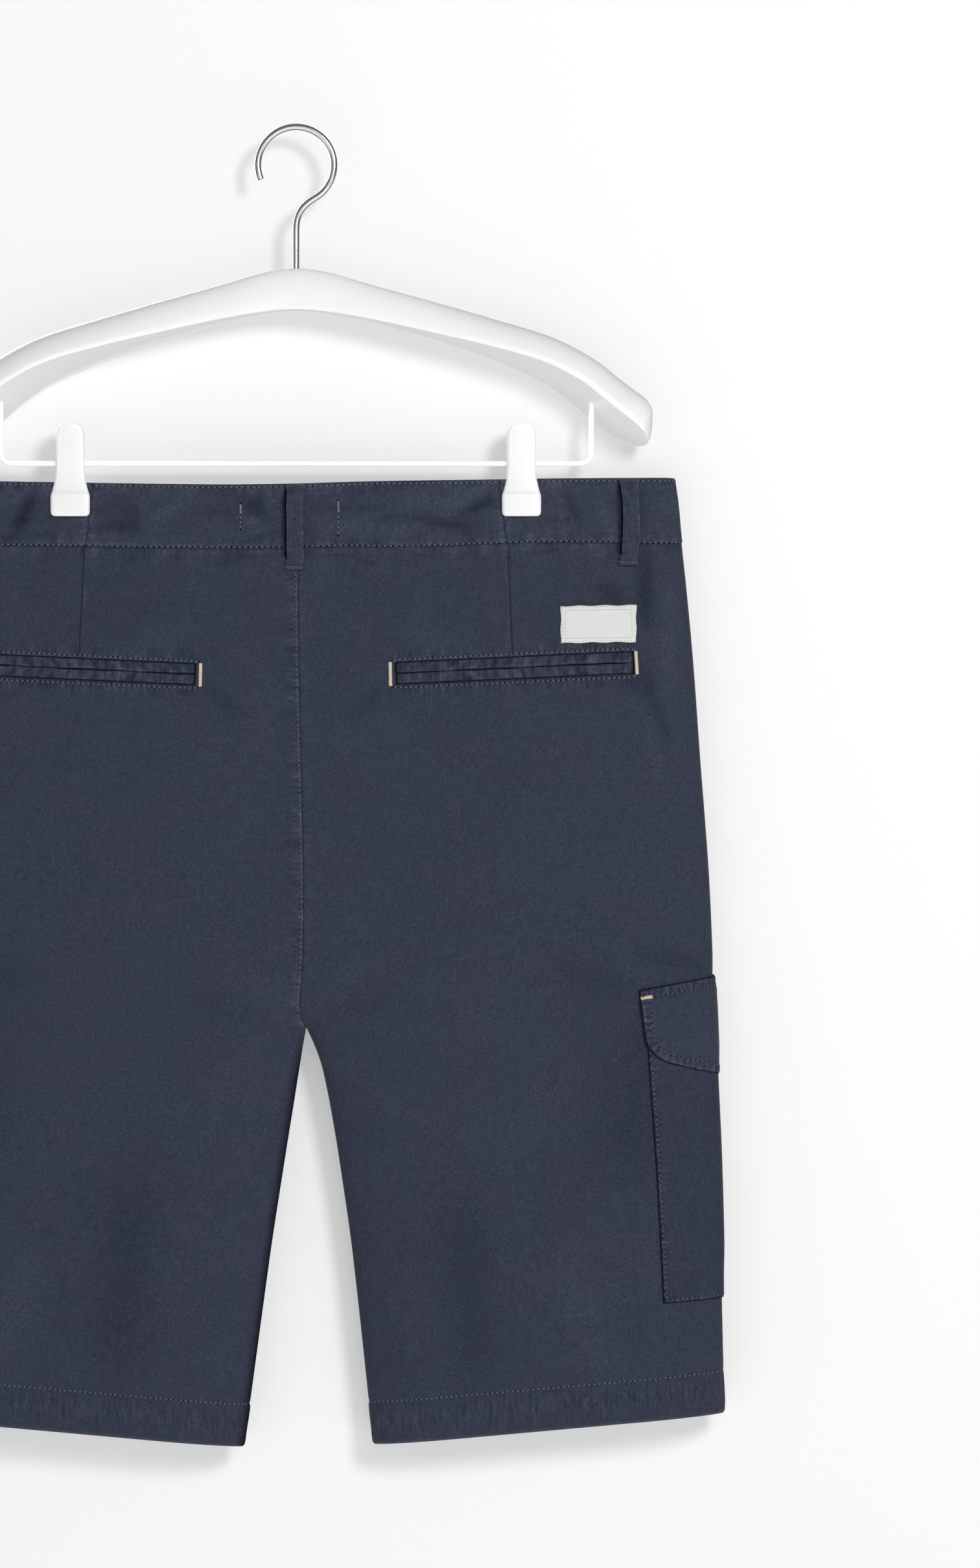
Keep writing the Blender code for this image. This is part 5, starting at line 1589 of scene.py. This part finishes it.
def rolledTube(name, points, material, node, under=()):
    # a grid rolled into a closed tube, with its ends filled
    rows, columns = points.shape[:2]
    bm = bmesh.new()
    layer = bm.verts.layers.float.new("under")
    bmesh.ops.create_grid(bm, x_segments=columns - 1, y_segments=rows - 1, size=0.5)
    for vert in bm.verts:
        column = round((vert.co.x + 0.5) * (columns - 1))
        row = round((0.5 - vert.co.y) * (rows - 1))
        vert.co = Vector(points[row, column]) * mm
        vert[layer] = float(column in under)
    bmesh.ops.remove_doubles(bm, verts=bm.verts, dist=1e-6)
    bmesh.ops.holes_fill(bm, edges=[e for e in bm.edges if e.is_boundary], sides=0)
    bmesh.ops.recalc_face_normals(bm, faces=bm.faces)
    mesh = newMesh(name, bm)
    mesh.shade_smooth()
    mesh.set_sharp_from_angle(angle=math.radians(50))
    made = newObject(name, mesh, material)
    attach(made, "root")
    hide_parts(node)


def hangerArms(material):
    last, reach, around = arm["endX"], arm["endLength"], arm["around"]
    turn = np.linspace(0, math.pi / 2, 26)[1:]
    half = np.concatenate([spaced((0.0, last - reach, 2.2)), last - reach + reach * np.sin(turn)])
    x = np.concatenate([-half[:0:-1], half])[:, None]
    z, halfWidth, height, tilt = readRows(arm["rows"], np.abs(x))
    # the ends are rounded off
    into = np.clip((np.abs(x) - last + reach) / reach, 0, 1)
    halfWidth = halfWidth * np.sqrt(1 - into**2 * 0.9998)
    height = np.maximum(height * (1 - into**2.4) ** 0.5, 0.05)
    turn, share = np.linspace(0, 1, around + 1), arm["flatShare"]
    flat = turn < share
    bend = math.pi * (1 - (turn - share) / (1 - share))
    a = np.where(flat, 1 - 2 * turn / share, np.cos(bend)) * halfWidth
    c = np.where(flat, 0.0, np.abs(np.sin(bend)) ** 0.85) * height
    # the lower edges are eased over
    a = a * (1 - 0.02 * bell(c, 1.2))
    lean = np.radians(tilt)
    y, up = a * np.cos(lean) + c * np.sin(lean), c * np.cos(lean) - a * np.sin(lean)
    run, rise = np.gradient(x[:, 0])[:, None], np.gradient(z[:, 0])[:, None]
    size = np.hypot(run, rise)
    points = np.stack([x - up * rise / size, y, z + up * run / size], axis=-1)
    # the flat underside's columns, which the material paints greyer as shade
    under = (*range(int(around * share) + 1), *range(around - arm["edgeColumns"], around + 1))
    rolledTube("hanger_arms", points, material, "hanger_body", under)


def wirePiece(name, path, diameter, material, node):
    # a round wire swept along a path in the middle plane
    path = np.array(path)
    ahead = np.gradient(path, axis=0)
    ahead /= np.linalg.norm(ahead, axis=1)[:, None]
    turn = np.linspace(0, 2 * math.pi, 25)[None, :, None]
    across = np.stack([ahead[:, 2], 0 * ahead[:, 0], -ahead[:, 0]], -1)[:, None]
    ring = diameter / 2 * (np.cos(turn) * across + np.sin(turn) * outOfFront)
    rolledTube(name, path[:, None] + ring, material, node)


def barPath():
    turn = np.linspace(0, math.pi / 2, 12)
    x = bar["x"] - bar["bend"] + bar["bend"] * np.sin(turn)
    z = bar["z"] + bar["bend"] - bar["bend"] * np.cos(turn)
    half = [*zip(x, 0 * x, z), (bar["x"], 0, bar["turnTop"]), (bar["x"], 0, bar["top"])]
    left = [(-a, b, c) for a, b, c in half[::-1]]
    between = [(v, 0, bar["z"]) for v in np.linspace(-bar["straight"], bar["straight"], 21)]
    return left + between + half


def hookPath():
    # a straight stem, a bend to one side, and the round crown
    radius = hook["inner"] + hook["wire"] / 2
    start, pull = math.radians(hook["join"]), hook["pull"]
    joinX, joinZ = radius * math.cos(start), -hook["inner"] + radius * math.sin(start)
    stemTop = joinZ - hook["neck"]
    points = [(0, 0, z) for z in np.linspace(hook["foot"], stemTop, 8)]
    ends = np.array([(0, stemTop), (0, stemTop + pull),
                     (joinX + pull * math.sin(start), joinZ - pull * math.cos(start)), (joinX, joinZ)])
    for t in np.linspace(0, 1, 14)[1:-1]:
        x, z = np.array([(1 - t) ** 3, 3 * t * (1 - t) ** 2, 3 * t * t * (1 - t), t**3]) @ ends
        points.append((x, 0, z))
    for angle in start + np.radians(np.linspace(0, hook["turn"], 72)):
        points.append((radius * math.cos(angle), 0, -hook["inner"] + radius * math.sin(angle)))
    return points


def clipJaw(side, facing, name, material):
    # a moulded jaw: narrow above the waist, flared to a pad that grips it
    z, across = spaced(*clip["levels"])[:, None], np.linspace(-1, 1, 25)
    halfWidth, outer, inner = readRows(clip["rows"], z)
    fall = np.clip((np.abs(across) * halfWidth - halfWidth + clip["edge"]) / clip["edge"], 0, 1)
    front = inner + (outer - inner) * (0.42 + 0.58 * np.sqrt(1 - fall**2 * 0.98))
    front += clip["crown"] * (1 - across**2) - clip["crown"]
    front = front - clip["groove"] * bell(z - clip["grooveZ"], 0.35)
    x = side * clip["x"] + across * halfWidth + (clip["frontShift"] if facing > 0 else 0.0)
    outside, inside = (
        np.stack(np.broadcast_arrays(x, facing * face, z), -1) for face in (front, inner + 0 * front)
    )
    ring = np.concatenate([outside, inside[:, ::-1], outside[:, :1]], axis=1)
    piece = f"clip_{name}_{'back' if facing < 0 else 'front'}"
    rolledTube(piece, ring, material, piece + "_jaw")


white = plasticMaterial("white plastic", plastic["colour"], plastic["roughness"], plastic["lit"])
coated = plasticMaterial("white coated wire", plastic["wire"], plastic["wireRoughness"], plastic["wireLit"])
hangerArms(white)
wirePiece("bar_wire", barPath(), bar["diameter"], coated, "trouser_bar")
wirePiece("hook_wire", hookPath(), hook["wire"], steelMaterial(), "hook")
for side, name in sides:
    for facing in (-1, 1):
        clipJaw(side, facing, name, white)
print("hanger")
